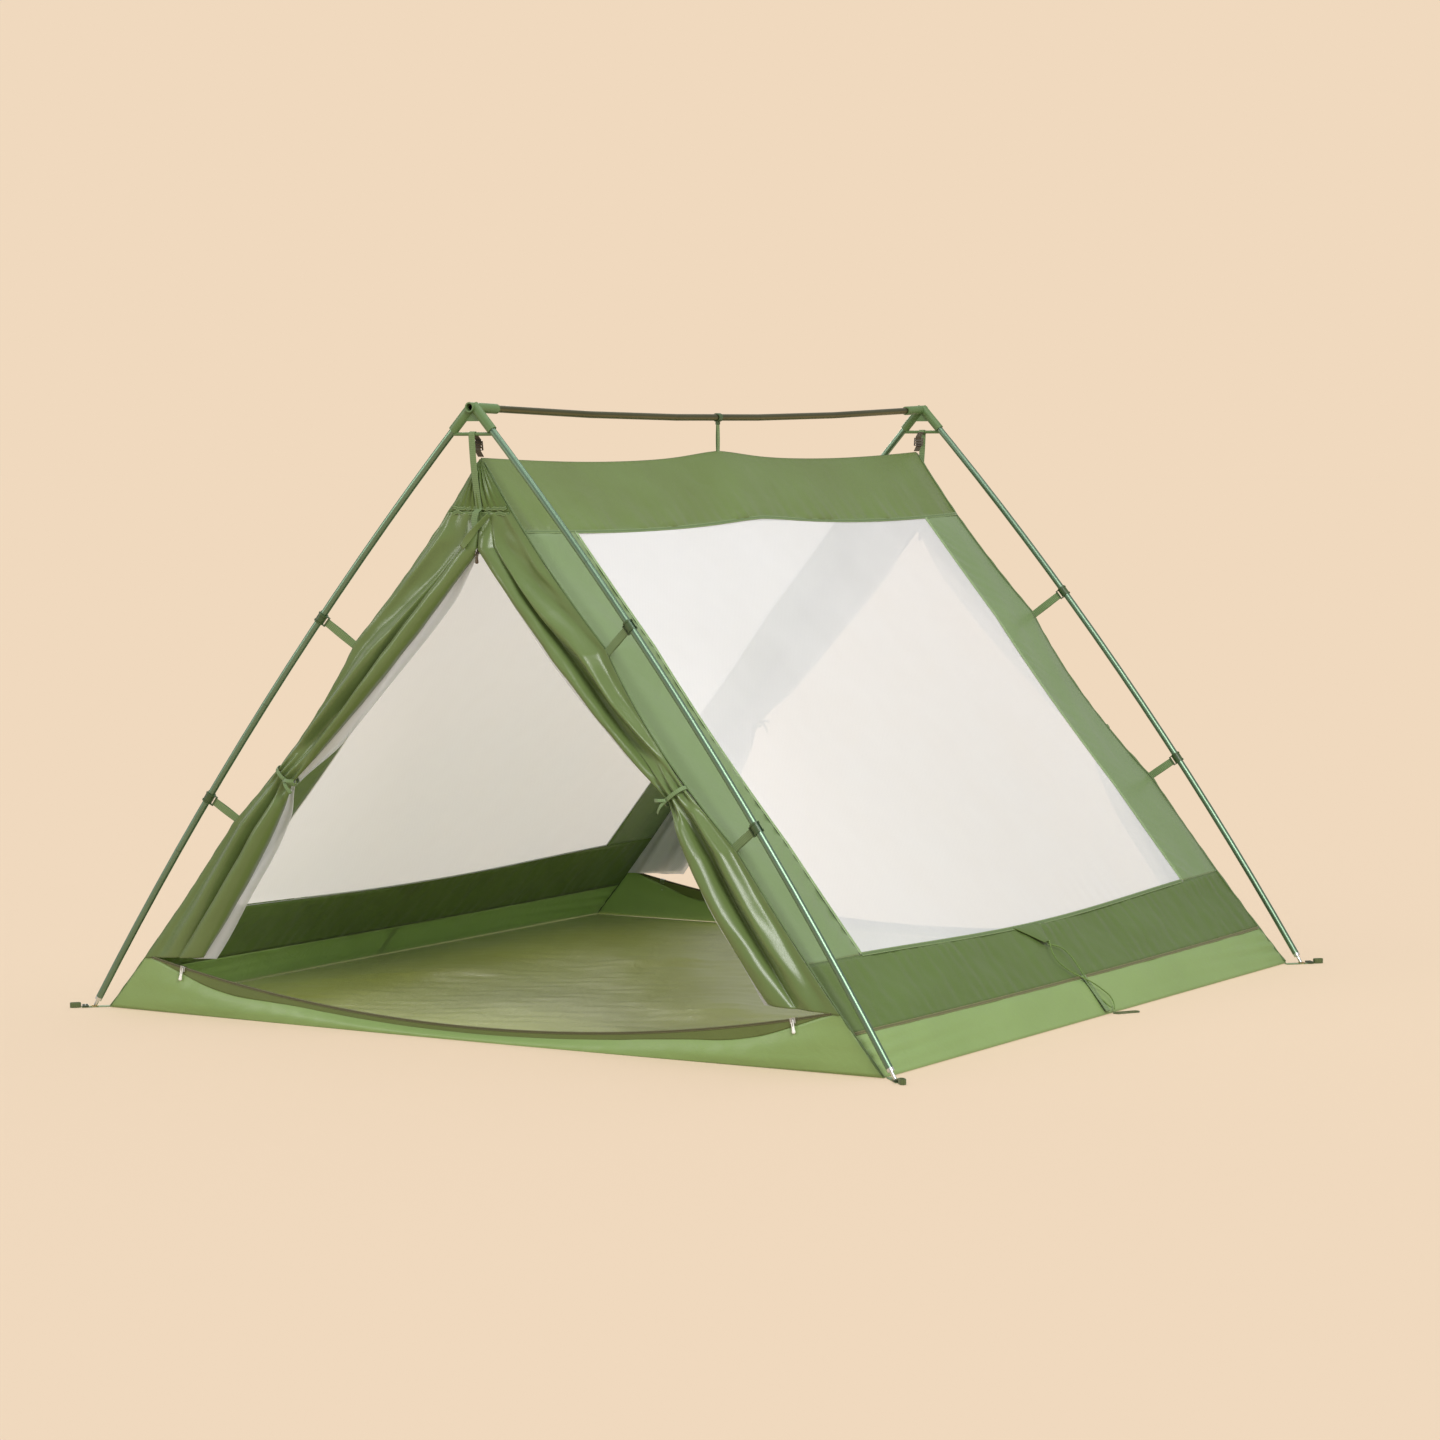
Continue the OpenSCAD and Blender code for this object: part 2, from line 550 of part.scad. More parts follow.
module cover_leaf(skirt) on_end() translate([0, 0, -leaf_t / 2]) linear_extrude(leaf_t)
    leaf_part(skirt, LEAF_GAP, 0);

module inner_leaf(skirt) on_end() translate([0, 0, -leaf_t / 2 - MESH_GAP - MESH_T]) linear_extrude(MESH_T)
    leaf_part(skirt, LEAF_GAP + MESH_SET, MESH_PROUD);

module door_leaves(rear) color("#6E8C4E") both_sides() mirror([0, rear ? 1 : 0, 0]) cover_leaf(false);
module mesh_leaves(rear) color("#DDE0E2") both_sides() mirror([0, rear ? 1 : 0, 0]) inner_leaf(false);
module leaf_skirt(left, rear) color("#6E8C4E") quarter(left, rear) cover_leaf(true);
module mesh_skirt(left, rear) color("#DDE0E2") quarter(left, rear) inner_leaf(true);

// Loop of webbing round a gathered leaf, with the toggle that closes it
module door_ties() color("#8FAF86") four_corners() at_seam(tie_h) {
    outer = LEAF_GAP - web_t - TIE_SIDE;
    inner = LEAF_GAP + MESH_SET + tie_w + MESH_PROUD + TIE_ROOM;
    front = leaf_t / 2 + TIE_FACE;
    back = leaf_t / 2 + MESH_GAP + MESH_T + TIE_FACE;
    translate([-inner, 0, -back]) difference() {
        translate([-web_t, 0, -web_t])
            cube([inner - outer + 2 * web_t, TIE_BAND, front + back + 2 * web_t]);
        translate([0, -1, 0]) cube([inner - outer, TIE_BAND + 2, front + back]);
    }
    translate([-inner / 2 - TOGGLE_D, 0, front + web_t + TOGGLE_D / 2 + SEAM])
        rotate([-90, 0, 0]) cylinder(d = TOGGLE_D, h = TOGGLE_LEN);
}

// ---- zips ----

SLIDER_W = 14;       // size of a slider along the zip
SLIDER_LEN = 12;     // size of a slider across the zip
SLIDER_H = 8;        // height of a slider's body
SLIDER_BACK = 3;     // how far that body reaches behind the cloth
SLIDER_TOP = 3;      // how far it reaches past the zipped edge
EDGE_ROOM = 0.5;     // space between it and that edge
LUG_Z = 7.2;         // height of the pull's pivot above the cloth
LUG_T = 2;           // thickness of the lug that carries the pivot
LUG_LEN = 6;         // length of that lug
LUG_TOP = 2.6;       // how far it reaches above the pivot
PIN_Y = -2;          // place of the pivot across the zip
PIN_R = 1.2;         // radius of the pivot pin
PIN_FIT = 0.08;      // radial clearance of that pin
FORK_T = 1.4;        // thickness of a pull's two arms
FORK_H = 2.6;        // height of those arms
FORK_LEN = 14;       // length of those arms
PULL_NECK = 5.4;     // diameter of a pull at its arms
PULL_D = 8;          // diameter of its round end
PULL_LEN = 25;       // distance from its pivot to the middle of that end
APEX_SLIDER_DROP = 14;    // how far below the door's top the slider there is parked

// Slider with a lug for its pull. It may straddle an edge that lies along x.
module slider(straddle) difference() {
    union() {
        translate([-SLIDER_W / 2, SLIDER_TOP - SLIDER_LEN, -SLIDER_BACK])
            cube([SLIDER_W, SLIDER_LEN, SLIDER_H]);
        translate([-LUG_T / 2, PIN_Y - LUG_LEN / 2, 0]) cube([LUG_T, LUG_LEN, LUG_Z + LUG_TOP]);
    }
    if (straddle) translate([-SLIDER_W, -2 * SLIDER_LEN, -SEAM])
        cube([2 * SLIDER_W, 2 * SLIDER_LEN + EDGE_ROOM, fabric_t + 2 * SEAM]);
    translate([-LUG_T, PIN_Y, LUG_Z]) rotate([0, 90, 0])
        cylinder(r = PIN_R + PIN_FIT, h = 2 * LUG_T, $fn = 24);
}

// Pull that hangs from a slider's lug
module pull() translate([0, PIN_Y, LUG_Z]) {
    arm_x = LUG_T / 2 + SEAM;
    pin_half = arm_x + FORK_T / 2;
    translate([-pin_half, 0, 0]) rotate([0, 90, 0]) cylinder(r = PIN_R, h = 2 * pin_half, $fn = 24);
    for (x = [-arm_x - FORK_T, arm_x]) translate([x, -FORK_LEN, -FORK_H / 2])
        cube([FORK_T, FORK_LEN + FORK_H / 2, FORK_H]);
    translate([0, 1 - FORK_LEN, 0]) rotate([90, 0, 0])
        cylinder(d1 = PULL_NECK, d2 = PULL_D, h = PULL_LEN - FORK_LEN + 1, $fn = 32);
    translate([0, -PULL_LEN, 0]) sphere(d = PULL_D, $fn = 32);
}

module zip_slider(left, rear) color("#BFC2BE") quarter(left, rear) at_sill(slider_x) slider(true);
module zip_pull(left, rear) color("#F4F4F2") quarter(left, rear) at_sill(slider_x) pull();

// The slider at the door's top lies on the cloth
module at_door_top() on_end() translate([0, door_apex_h - APEX_SLIDER_DROP, fabric_t + SLIDER_BACK + SEAM])
    children();

module apex_sliders() color("#BFC2BE") both_ends() at_door_top() slider(false);
module apex_pull(rear) color("#F4F4F2") quarter(false, rear) at_door_top() pull();

// ---- corners on the ground ----

// The foot's place: x points diagonally away from the tent
module at_foot() translate([foot_x, leg_y(leg_len), 0]) rotate([0, 0, -45]) children();

CORNER_LAP = 1;      // how far a corner strap runs on past the tub's corner
STRAP_END = 30;      // how far it reaches past the foot
GROMMET_BORE = 6.8;  // radius of the hole that the foot's pin stands in
GROMMET_R = 9.5;     // outer radius of the grommet round it
GROMMET_T = 1.4;     // thickness of that grommet
BUCKLE_X = 21;       // distance of the corner buckle from the foot
LOOP_X = 44;         // distance of the stake loop's middle from the foot
LOOP_STRAIGHT = 12;  // length of the loop's straight sides
LOOP_W = 14;         // width of the loop
LOOP_TRIM = 8;       // how much narrower its webbing is than the rest
corner_reach = norm([foot_x - floor_x, hub_y + foot_splay - floor_y]) + CORNER_LAP;

module corner_straps() color("#7E9A74") four_corners() at_foot() difference() {
    translate([-corner_reach, -web_w / 2, 0]) cube([corner_reach + STRAP_END, web_w, web_t]);
    translate([0, 0, -1]) cylinder(r = GROMMET_BORE, h = web_t + 2);
}

module corner_grommets() color("#C9B57A") four_corners() at_foot() translate([0, 0, web_t + SEAM])
    difference() {
        cylinder(r = GROMMET_R, h = GROMMET_T);
        translate([0, 0, -1]) cylinder(r = GROMMET_BORE, h = GROMMET_T + 2);
    }

module corner_buckles() color("#2F3A2A") four_corners() at_foot()
    translate([BUCKLE_X, 0, web_t + SEAM + BUCKLE_T / 2]) ladder(CORNER_SLOTS);

// Webbing loop that a stake goes through, standing on its edge
module stake_loops() color("#7E9A74") four_corners() at_foot() translate([LOOP_X, 0, 0])
    linear_extrude(web_w - LOOP_TRIM) difference() {
        stadium(LOOP_STRAIGHT, LOOP_W);
        stadium(LOOP_STRAIGHT, LOOP_W - 2 * web_t);
    }

// Flat outline with round ends, centred, whose straight sides have a given length
module stadium(straight, w) {
    square([straight, w], center = true);
    for (x = [-1, 1]) translate([x * straight / 2, 0]) circle(d = w);
}

// ---- guy points in the middle of the sides ----

TAB_LEN = 88;        // length of a guy tab down the wall
TAB_TILT = 5;        // how far a guy tab stands off the wall, in degrees
TAB_FRONT = 130;     // how far its sewn edge reaches to the front of the middle
TAB_REAR = -6;       // how far it reaches to the rear, with its sign
TAB_TIP = 42;        // how far its tip lies to the front of the middle
TAB_TIP_W = 22;      // width of that tip
TAB_HOLE_UP = 8;     // distance of the cord's hole from the tip
TAPE_Y = 16;         // place of the tape on the tub, to the rear of the middle
TAPE_FOOT = 6;       // height of the tape's lower end, up the wall
SIDE_LOOP_X = 8;     // where the side loop starts, out from the floor
SIDE_LOOP_Y = 34;    // where it starts, to the rear of the middle
SIDE_LOOP_TURN = 58; // how far it is turned to the rear, in degrees
SIDE_LOOP_MID = 33;  // distance of its middle from where it starts
SIDE_STRAIGHT = 48;  // length of its straight sides
SIDE_LOOP_W = 22;    // its width
SIDE_LOOP_T = 2.5;   // thickness of its folded webbing
SIDE_LOOP_H = 3;     // its height

module guy_tab() on_side() translate([0, band_h / sin(wall_angle), fabric_t]) rotate([-TAB_TILT, 0, 0])
    linear_extrude(web_t) difference() {
        polygon([
            [-TAB_FRONT, 0], [TAB_REAR, 0],
            [TAB_TIP_W / 2 - TAB_TIP, -TAB_LEN], [-TAB_TIP_W / 2 - TAB_TIP, -TAB_LEN]
        ]);
        translate([-TAB_TIP, TAB_HOLE_UP - TAB_LEN]) circle(d = 2 * cord_d + 1, $fn = 24);
    }

module side_guy_tabs() color("#7E9A74") both_sides() guy_tab();

// A tape sewn down the tub's side, and the loop it forms on the ground
module side_stake_loops() color("#7E9A74") both_sides() {
    on_side() translate([TAPE_Y - web_w / 2, TAPE_FOOT, SEAM]) cube([web_w, tub_h, web_t]);
    translate([floor_x + SIDE_LOOP_X, SIDE_LOOP_Y, 0]) rotate([0, 0, SIDE_LOOP_TURN])
        translate([SIDE_LOOP_MID, 0, 0]) linear_extrude(SIDE_LOOP_H) difference() {
            stadium(SIDE_STRAIGHT, SIDE_LOOP_W);
            stadium(SIDE_STRAIGHT, SIDE_LOOP_W - 2 * SIDE_LOOP_T);
        }
}

// Route of a guy cord on the right side, in the wall's own directions: along the wall to the rear,
// up the slope, and out from the wall. It runs up from the stake loop, through the tab and back.
CORD_ROUTE = [
    [36, 4, 13], [49, 13, 12], [59, 26, 11], [57, 41, 12], [45, 55, 13], [30, 69, 14], [13, 84, 14],
    [-5, 100, 11], [-25, 118, 8], [-45, 136, 8], [-59, 156, 9], [-61, 178, 11], [-55, 196, 14],
    [-47, 206, 14], [-41, 209, 8], [-34, 205, 4], [-22, 199, 4], [-5, 191, 6], [10, 177, 7],
    [18, 157, 7], [19, 134, 7], [16, 112, 7], [14, 90, 7], [15, 70, 6], [18, 50, 6], [22, 34, 8],
    [26, 20, 10], [30, 10, 12]
];

// Point at t, from 0 to 1, of a smooth curve between points i and i + 1 of p
function curve_point(p, i, t) =
    let (a = p[max(i - 1, 0)], b = p[i], c = p[i + 1], d = p[min(i + 2, len(p) - 1)])
    0.5 * (2 * b + (c - a) * t + (2 * a - 5 * b + 4 * c - d) * t * t + (3 * b - a - 3 * c + d) * t * t * t);
function unit(v) = v / norm(v);
CORD_STEP = 17;    // longest distance between two rings of the cord
cord_points = [
    for (i = [0 : len(CORD_ROUTE) - 2]) each norm(CORD_ROUTE[i + 1] - CORD_ROUTE[i]) > CORD_STEP
        ? [CORD_ROUTE[i], curve_point(CORD_ROUTE, i, 0.5)] : [CORD_ROUTE[i]],
    CORD_ROUTE[len(CORD_ROUTE) - 1]
];

// Tube of a given diameter swept along points q, as one solid
module cord_tube(q, d) {
    sides = 8;
    last = len(q) - 1;
    dirs = [for (i = [0 : last]) unit(q[min(i + 1, last)] - q[max(i - 1, 0)])];
    across = [for (t = dirs) unit(cross(t, [0, 0, 1]))];
    rings = [for (i = [0 : last], k = [0 : sides - 1])
        q[i] + d / 2 * (across[i] * cos(k * 360 / sides) + cross(dirs[i], across[i]) * sin(k * 360 / sides))];
    walls = [for (i = [0 : last - 1], k = [0 : sides - 1]) [
        (i + 1) * sides + k, (i + 1) * sides + (k + 1) % sides, i * sides + (k + 1) % sides, i * sides + k]];
    start = [for (k = [0 : sides - 1]) k];
    end = [for (k = [sides - 1 : -1 : 0]) last * sides + k];
    polyhedron(rings, concat(walls, [start, end]));
}

module side_cord() on_side() cord_tube(cord_points, cord_d);
module side_cord_right() color("#5E7E3A") side_cord();
module side_cord_left() color("#5E7E3A") mirror([1, 0, 0]) side_cord();

// ---- nodes ----

color("#7C9B6B") hub();  // hub_front
color("#7C9B6B") mirror([0, 1, 0]) hub();  // hub_rear
ridge_pole();
leg_pole(true, false);  // leg_pole_front_left
leg_pole(false, false);  // leg_pole_front_right
leg_pole(true, true);  // leg_pole_rear_left
leg_pole(false, true);  // leg_pole_rear_right
pole_ferrules();
shock_cords();
leg_tips();
leg_clips();
clip_tabs();
ridge_clip();
ridge_strap();
apex_straps();
apex_buckles();
ridge_band();
window_left();
window_right();
lower_band_left();
lower_band_right();
wall_strips();
gusset_front();
gusset_rear();
floor();
tub_walls();
sill_front();
sill_rear();
door_leaves(false);  // door_leaves_front
door_leaves(true);  // door_leaves_rear
mesh_leaves(false);  // mesh_leaves_front
mesh_leaves(true);  // mesh_leaves_rear
door_ties();
leaf_skirt(true, false);  // leaf_skirt_front_left
leaf_skirt(false, false);  // leaf_skirt_front_right
leaf_skirt(true, true);  // leaf_skirt_rear_left
leaf_skirt(false, true);  // leaf_skirt_rear_right
mesh_skirt(true, false);  // mesh_skirt_front_left
mesh_skirt(false, false);  // mesh_skirt_front_right
mesh_skirt(true, true);  // mesh_skirt_rear_left
mesh_skirt(false, true);  // mesh_skirt_rear_right
zip_slider(true, false);  // zip_slider_front_left
zip_slider(false, false);  // zip_slider_front_right
zip_slider(true, true);  // zip_slider_rear_left
zip_slider(false, true);  // zip_slider_rear_right
zip_pull(true, false);  // zip_pull_front_left
zip_pull(false, false);  // zip_pull_front_right
zip_pull(true, true);  // zip_pull_rear_left
zip_pull(false, true);  // zip_pull_rear_right
apex_sliders();
apex_pull(false);  // apex_pull_front
apex_pull(true);  // apex_pull_rear
corner_straps();
corner_grommets();
corner_buckles();
stake_loops();
side_guy_tabs();
side_cord_left();
side_cord_right();
side_stake_loops();
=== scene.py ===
"""A-frame tent on bowed poles: looks of every cloth, webbing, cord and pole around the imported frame."""

import json

import bmesh
import bpy
import numpy as np
from mathutils import Matrix, Vector


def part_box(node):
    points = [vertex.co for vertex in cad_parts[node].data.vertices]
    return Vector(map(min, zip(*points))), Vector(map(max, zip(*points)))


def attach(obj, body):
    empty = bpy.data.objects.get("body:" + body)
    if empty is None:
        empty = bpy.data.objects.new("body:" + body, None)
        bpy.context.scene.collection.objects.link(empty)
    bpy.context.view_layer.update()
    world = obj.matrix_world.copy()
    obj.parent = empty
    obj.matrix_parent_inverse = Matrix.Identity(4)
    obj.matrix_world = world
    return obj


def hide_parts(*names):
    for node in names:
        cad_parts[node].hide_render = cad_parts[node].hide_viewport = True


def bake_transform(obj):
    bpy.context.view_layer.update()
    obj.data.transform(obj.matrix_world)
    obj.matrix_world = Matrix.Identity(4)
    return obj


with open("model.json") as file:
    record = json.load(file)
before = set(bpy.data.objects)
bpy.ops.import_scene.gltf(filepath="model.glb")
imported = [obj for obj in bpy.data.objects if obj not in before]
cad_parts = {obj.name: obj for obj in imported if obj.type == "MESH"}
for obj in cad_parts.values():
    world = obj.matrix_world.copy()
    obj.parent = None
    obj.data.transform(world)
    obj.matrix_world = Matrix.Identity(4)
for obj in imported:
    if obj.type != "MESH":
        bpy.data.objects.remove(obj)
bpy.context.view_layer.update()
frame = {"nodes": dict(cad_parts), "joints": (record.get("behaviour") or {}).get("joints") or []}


# ---- studio ----
# A pale paper floor that runs out to the horizon, with the same colour behind it. Large soft lights
# stand right, left, behind and above; one more light evens out the paper alone.

PAPER = "#F0D9BE"
CAMERA_PLACE = (5.050, -8.305, 1.345)
CAMERA_TURN, CAMERA_PITCH, CAMERA_ROLL = 0.546, 0.072, -0.003
LENS_MM, SENSOR_MM = 100.8, 36.0
PAPER_DROP = 0.0006  # how far the paper lies under the lowest piece


def linear(code):
    """Linear colour of an sRGB hex code: ((c + 0.055) / 1.055) ** 2.4, or c / 12.92 near black."""
    shares = [int(code[i : i + 2], 16) / 255 for i in (1, 3, 5)]
    return [c / 12.92 if c <= 0.04045 else ((c + 0.055) / 1.055) ** 2.4 for c in shares] + [1.0]


def add(tree, kind, inputs=(), **settings):
    """Adds a shader node with its own settings; inputs maps a socket to a value or to an output."""
    node = tree.nodes.new("ShaderNode" + kind)
    for name, value in settings.items():
        setattr(node, name, value)
    for socket, value in dict(inputs).items():
        if isinstance(value, bpy.types.NodeSocket):
            tree.links.new(value, node.inputs[socket])
        else:
            node.inputs[socket].default_value = value
    return node


def new_material(name):
    """An empty node material, and its tree."""
    material = bpy.data.materials.new(name)
    material.use_nodes = True
    material.node_tree.nodes.clear()
    return material, material.node_tree


def surface_mesh(name, points, uv=None, wrap=False):
    """Object from a grid of points (rows, columns, 3). Cell (i, j) is the quad between rows i and i + 1 and
    columns j and j + 1, and wrap closes each row on itself. uv holds metres along the cloth."""
    rows, columns = points.shape[:2]
    index = np.arange(rows * columns).reshape(rows, columns)
    if wrap:
        index = np.concatenate([index, index[:, :1]], axis=1)
    quads = np.stack([index[:-1, :-1], index[:-1, 1:], index[1:, 1:], index[1:, :-1]], axis=-1).reshape(-1, 4)
    mesh = bpy.data.meshes.new(name)
    mesh.vertices.add(rows * columns)
    mesh.vertices.foreach_set("co", points.astype(np.float32).ravel())
    mesh.loops.add(quads.size)
    mesh.loops.foreach_set("vertex_index", quads.astype(np.int32).ravel())
    mesh.polygons.add(len(quads))
    mesh.polygons.foreach_set("loop_start", np.arange(0, quads.size, 4, dtype=np.int32))
    mesh.update(calc_edges=True)
    if uv is not None:
        if wrap:
            uv = np.concatenate([uv, uv[:, :1]], axis=1)
            uv[:, -1, 0] = 2 * uv[:, -2, 0] - uv[:, -3, 0]
            wide = np.arange(uv.shape[0] * uv.shape[1]).reshape(uv.shape[:2])
            corners = np.stack([wide[:-1, :-1], wide[:-1, 1:], wide[1:, 1:], wide[1:, :-1]], axis=-1)
        else:
            corners = quads
        layer = mesh.uv_layers.new(name="cloth")
        layer.data.foreach_set("uv", uv.reshape(-1, 2)[corners.ravel()].astype(np.float32).ravel())
    mesh.polygons.foreach_set("use_smooth", np.ones(len(quads), bool))
    thing = bpy.data.objects.new(name, mesh)
    bpy.context.scene.collection.objects.link(thing)
    return thing


def principled(tree, colour, rough, normal, extra=()):
    """Adds a Principled shader with a colour, a roughness and a normal, and any extra inputs."""
    inputs = {"Base Color": colour, "Roughness": rough, "Normal": normal}
    return add(tree, "BsdfPrincipled", inputs | dict(extra))


def output(tree, shader):
    """Ends a material with the shader."""
    add(tree, "OutputMaterial", {"Surface": shader.outputs[0]})


paper, tree = new_material("seamless_paper")
shader = add(tree, "BsdfDiffuse", {"Color": linear(PAPER)})
output(tree, shader)
reach = 90.0
corner_grid = np.stack(np.meshgrid(np.linspace(-reach, reach, 3), np.linspace(-reach, reach, 3)), axis=-1)
ground = surface_mesh("paper_floor", np.concatenate([corner_grid, np.full((3, 3, 1), -PAPER_DROP)], axis=-1))
ground.data.materials.append(paper)

world = bpy.data.worlds.new("studio")
bpy.context.scene.world = world
world.use_nodes = True
tree = world.node_tree
tree.nodes.clear()
seen = add(tree, "Background", {"Color": linear(PAPER), "Strength": 1.0})
light = add(tree, "Background", {"Color": linear("#FFFFFF"), "Strength": 0.5})
path = add(tree, "LightPath")
both = add(tree, "MixShader", {0: path.outputs["Is Camera Ray"], 1: light.outputs[0], 2: seen.outputs[0]})
add(tree, "OutputWorld", {"Surface": both.outputs[0]})
bpy.context.scene.view_settings.view_transform = "Standard"

only_paper = bpy.data.collections.new("paper_only")
only_paper.objects.link(ground)
not_paper = bpy.data.collections.new("all_but_paper")
not_paper.objects.link(ground)


def lamp(name, kind, place, aim, power, colour, size, linked):
    """A lamp at place that looks at aim; linked is the collection that it lights, or leaves out."""
    data = bpy.data.lights.new(name, kind)
    data.energy = power
    data.color = linear(colour)[:3]
    if kind == "AREA":
        data.shape, data.size = "SQUARE", size
    thing = bpy.data.objects.new(name, data)
    thing.location = place
    thing.rotation_euler = (Vector(aim) - Vector(place)).to_track_quat("-Z", "Y").to_euler()
    bpy.context.scene.collection.objects.link(thing)
    thing.light_linking.receiver_collection = linked
    return thing


lamp("key_right", "AREA", (5.5, -4.0, 5.0), (0.3, 0, 0.5), 430, "#FFFFFF", 3.0, not_paper)
lamp("fill_left", "AREA", (-5.5, -5.5, 3.6), (0, 0, 0.4), 175, "#FFFDFA", 3.0, not_paper)
lamp("back_left", "AREA", (-5.0, 4.5, 4.5), (0, 0, 0.5), 210, "#FFFCF6", 3.0, not_paper)
lamp("top_soft", "AREA", (0.5, 1.0, 6.0), (0, 0, 0.5), 110, "#FFFFFF", 4.0, not_paper)
evener = lamp("paper_evener", "SUN", (0, 0, 20), (0, 0, 0), 1.57, "#FFFFFF", 0, only_paper)
evener.data.use_shadow = False
for member in not_paper.collection_objects:
    member.light_linking.link_state = "EXCLUDE"

turn, pitch, roll = CAMERA_TURN, CAMERA_PITCH, CAMERA_ROLL
ahead = Vector((-np.sin(turn) * np.cos(pitch), np.cos(turn) * np.cos(pitch), -np.sin(pitch)))
right = Vector((np.cos(turn), np.sin(turn), 0))
up = right.cross(ahead)
right, up = right * np.cos(roll) + up * np.sin(roll), up * np.cos(roll) - right * np.sin(roll)
camera_data = bpy.data.cameras.new("camera")
camera_data.lens = LENS_MM
camera_data.sensor_width = SENSOR_MM
camera_data.clip_end = 300.0
camera = bpy.data.objects.new("camera", camera_data)
camera.matrix_world = Matrix((right, up, -ahead)).transposed().to_4x4()
camera.location = CAMERA_PLACE
bpy.context.scene.collection.objects.link(camera)
bpy.context.scene.camera = camera


# ---- guy cords ----
# Braided polyester cord, 3 mm, from each side's stake loop through the guy tab on the wall and back down.
# Plaited over a core and tied in a knot where both ends meet at the loop.

CORD_D = 0.003
CORD_ROUTE = [
    [36, 4, 13], [49, 13, 12], [59, 26, 11], [57, 41, 12], [45, 55, 13], [30, 69, 14], [13, 84, 14],
    [-5, 100, 11], [-25, 118, 8], [-45, 136, 8], [-59, 156, 9], [-61, 178, 11], [-55, 196, 14],
    [-47, 206, 14], [-41, 209, 8], [-34, 205, 4], [-22, 199, 4], [-5, 191, 6], [10, 177, 7],
    [18, 157, 7], [19, 134, 7], [16, 112, 7], [14, 90, 7], [15, 70, 6], [18, 50, 6], [22, 34, 8],
    [26, 20, 10], [30, 10, 12],
]

ridge_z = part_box("ridge_band")[1].z
side_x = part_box("lower_band_right")[1].x / (1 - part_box("lower_band_right")[0].z / ridge_z)
end_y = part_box("tub_walls")[1].y
peak_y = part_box("gusset_rear")[0].y
wall_angle = np.arctan2(ridge_z, side_x)
WALL_UP = np.array([-np.cos(wall_angle), 0, np.sin(wall_angle)])
WALL_OUT = np.array([np.sin(wall_angle), 0, np.cos(wall_angle)])
WALL_FOOT = np.array([side_x, 0, 0])


def on_wall(route):
    """Points of the right wall from millimetres to the rear, up the slope and outwards."""
    mm = np.array(route, float) / 1000
    return WALL_FOOT + mm[:, :1] * [0, 1, 0] + mm[:, 1:2] * WALL_UP + mm[:, 2:] * WALL_OUT


def smooth_path(points, steps):
    """Catmull-Rom curve through points: each stretch is the cubic with slopes (next - previous) / 2."""
    p = np.asarray(points, float)
    p = np.concatenate([2 * p[:1] - p[1:2], p, 2 * p[-1:] - p[-2:-1]])
    a, b, c, d = (p[i : len(p) - 3 + i, None] for i in range(4))
    t = (np.arange(steps) / steps)[None, :, None]
    curve = 0.5 * (2 * b + (c - a) * t + (2 * a - 5 * b + 4 * c - d) * t**2 + (3 * b - a - 3 * c + d) * t**3)
    return np.concatenate([curve.reshape(-1, 3), p[-2:-1]])


def lengths_along(points):
    """Distance from the first point of a path to each point."""
    return np.concatenate([[0], np.cumsum(np.linalg.norm(np.diff(points, axis=0), axis=1))])


def path_frame(points, hint):
    """Unit vectors along, across and over a path: across is along x hint, over is across x along."""
    along = np.gradient(points, axis=0)
    along /= np.linalg.norm(along, axis=1, keepdims=True)
    across = np.cross(along, np.broadcast_to(hint, along.shape))
    across /= np.linalg.norm(across, axis=1, keepdims=True)
    return along, across, np.cross(across, along)


def capped(points):
    """A tube's rings with its ends drawn in to points, so that the tube is closed."""
    first, last = points[:1].mean(1, keepdims=True), points[-1:].mean(1, keepdims=True)
    return np.concatenate([np.broadcast_to(first, points[:1].shape), points,
                           np.broadcast_to(last, points[-1:].shape)])


def merge_doubles(thing, distance=1e-6):
    """Welds vertices that lie at one place, and turns the faces outwards."""
    mesh = bmesh.new()
    mesh.from_mesh(thing.data)
    bmesh.ops.remove_doubles(mesh, verts=mesh.verts, dist=distance)
    bmesh.ops.dissolve_degenerate(mesh, edges=mesh.edges, dist=1e-7)
    bmesh.ops.recalc_face_normals(mesh, faces=mesh.faces)
    mesh.to_mesh(thing.data)
    mesh.free()
    return thing


def tube(name, path, radius, hint=(0, 0, 1), sides=12):
    """Round tube along a path: each ring is the path's point plus radius times (across cos a + over sin a).
    radius is one number or one for each point."""
    radius = np.broadcast_to(radius, len(path))
    along, across, over = path_frame(path, hint)
    a = np.linspace(0, 2 * np.pi, sides, endpoint=False)
    rings = path[:, None] + radius[:, None, None] * (
        across[:, None] * np.cos(a)[None, :, None] + over[:, None] * np.sin(a)[None, :, None])
    rings = capped(rings)
    run = lengths_along(path)
    run = np.concatenate([[run[0]], run, [run[-1]]])
    uv = np.stack(np.broadcast_arrays(a[None] * radius.mean(), run[:, None]), axis=-1)
    return merge_doubles(surface_mesh(name, rings, uv, wrap=True))


def mirror_points(points, left=False, rear=False):
    """Points mirrored to the left side, the rear end or both."""
    return np.asarray(points) * [-1 if left else 1, -1 if rear else 1, 1]


def mirrored(points, uv, left=False, rear=False):
    """A grid and its uv mirrored to the left or to the rear. Its columns are turned round with it, so that
    its faces still point outwards."""
    step = -1 if left != rear else 1
    return mirror_points(points, left, rear)[:, ::step], uv[:, ::step]


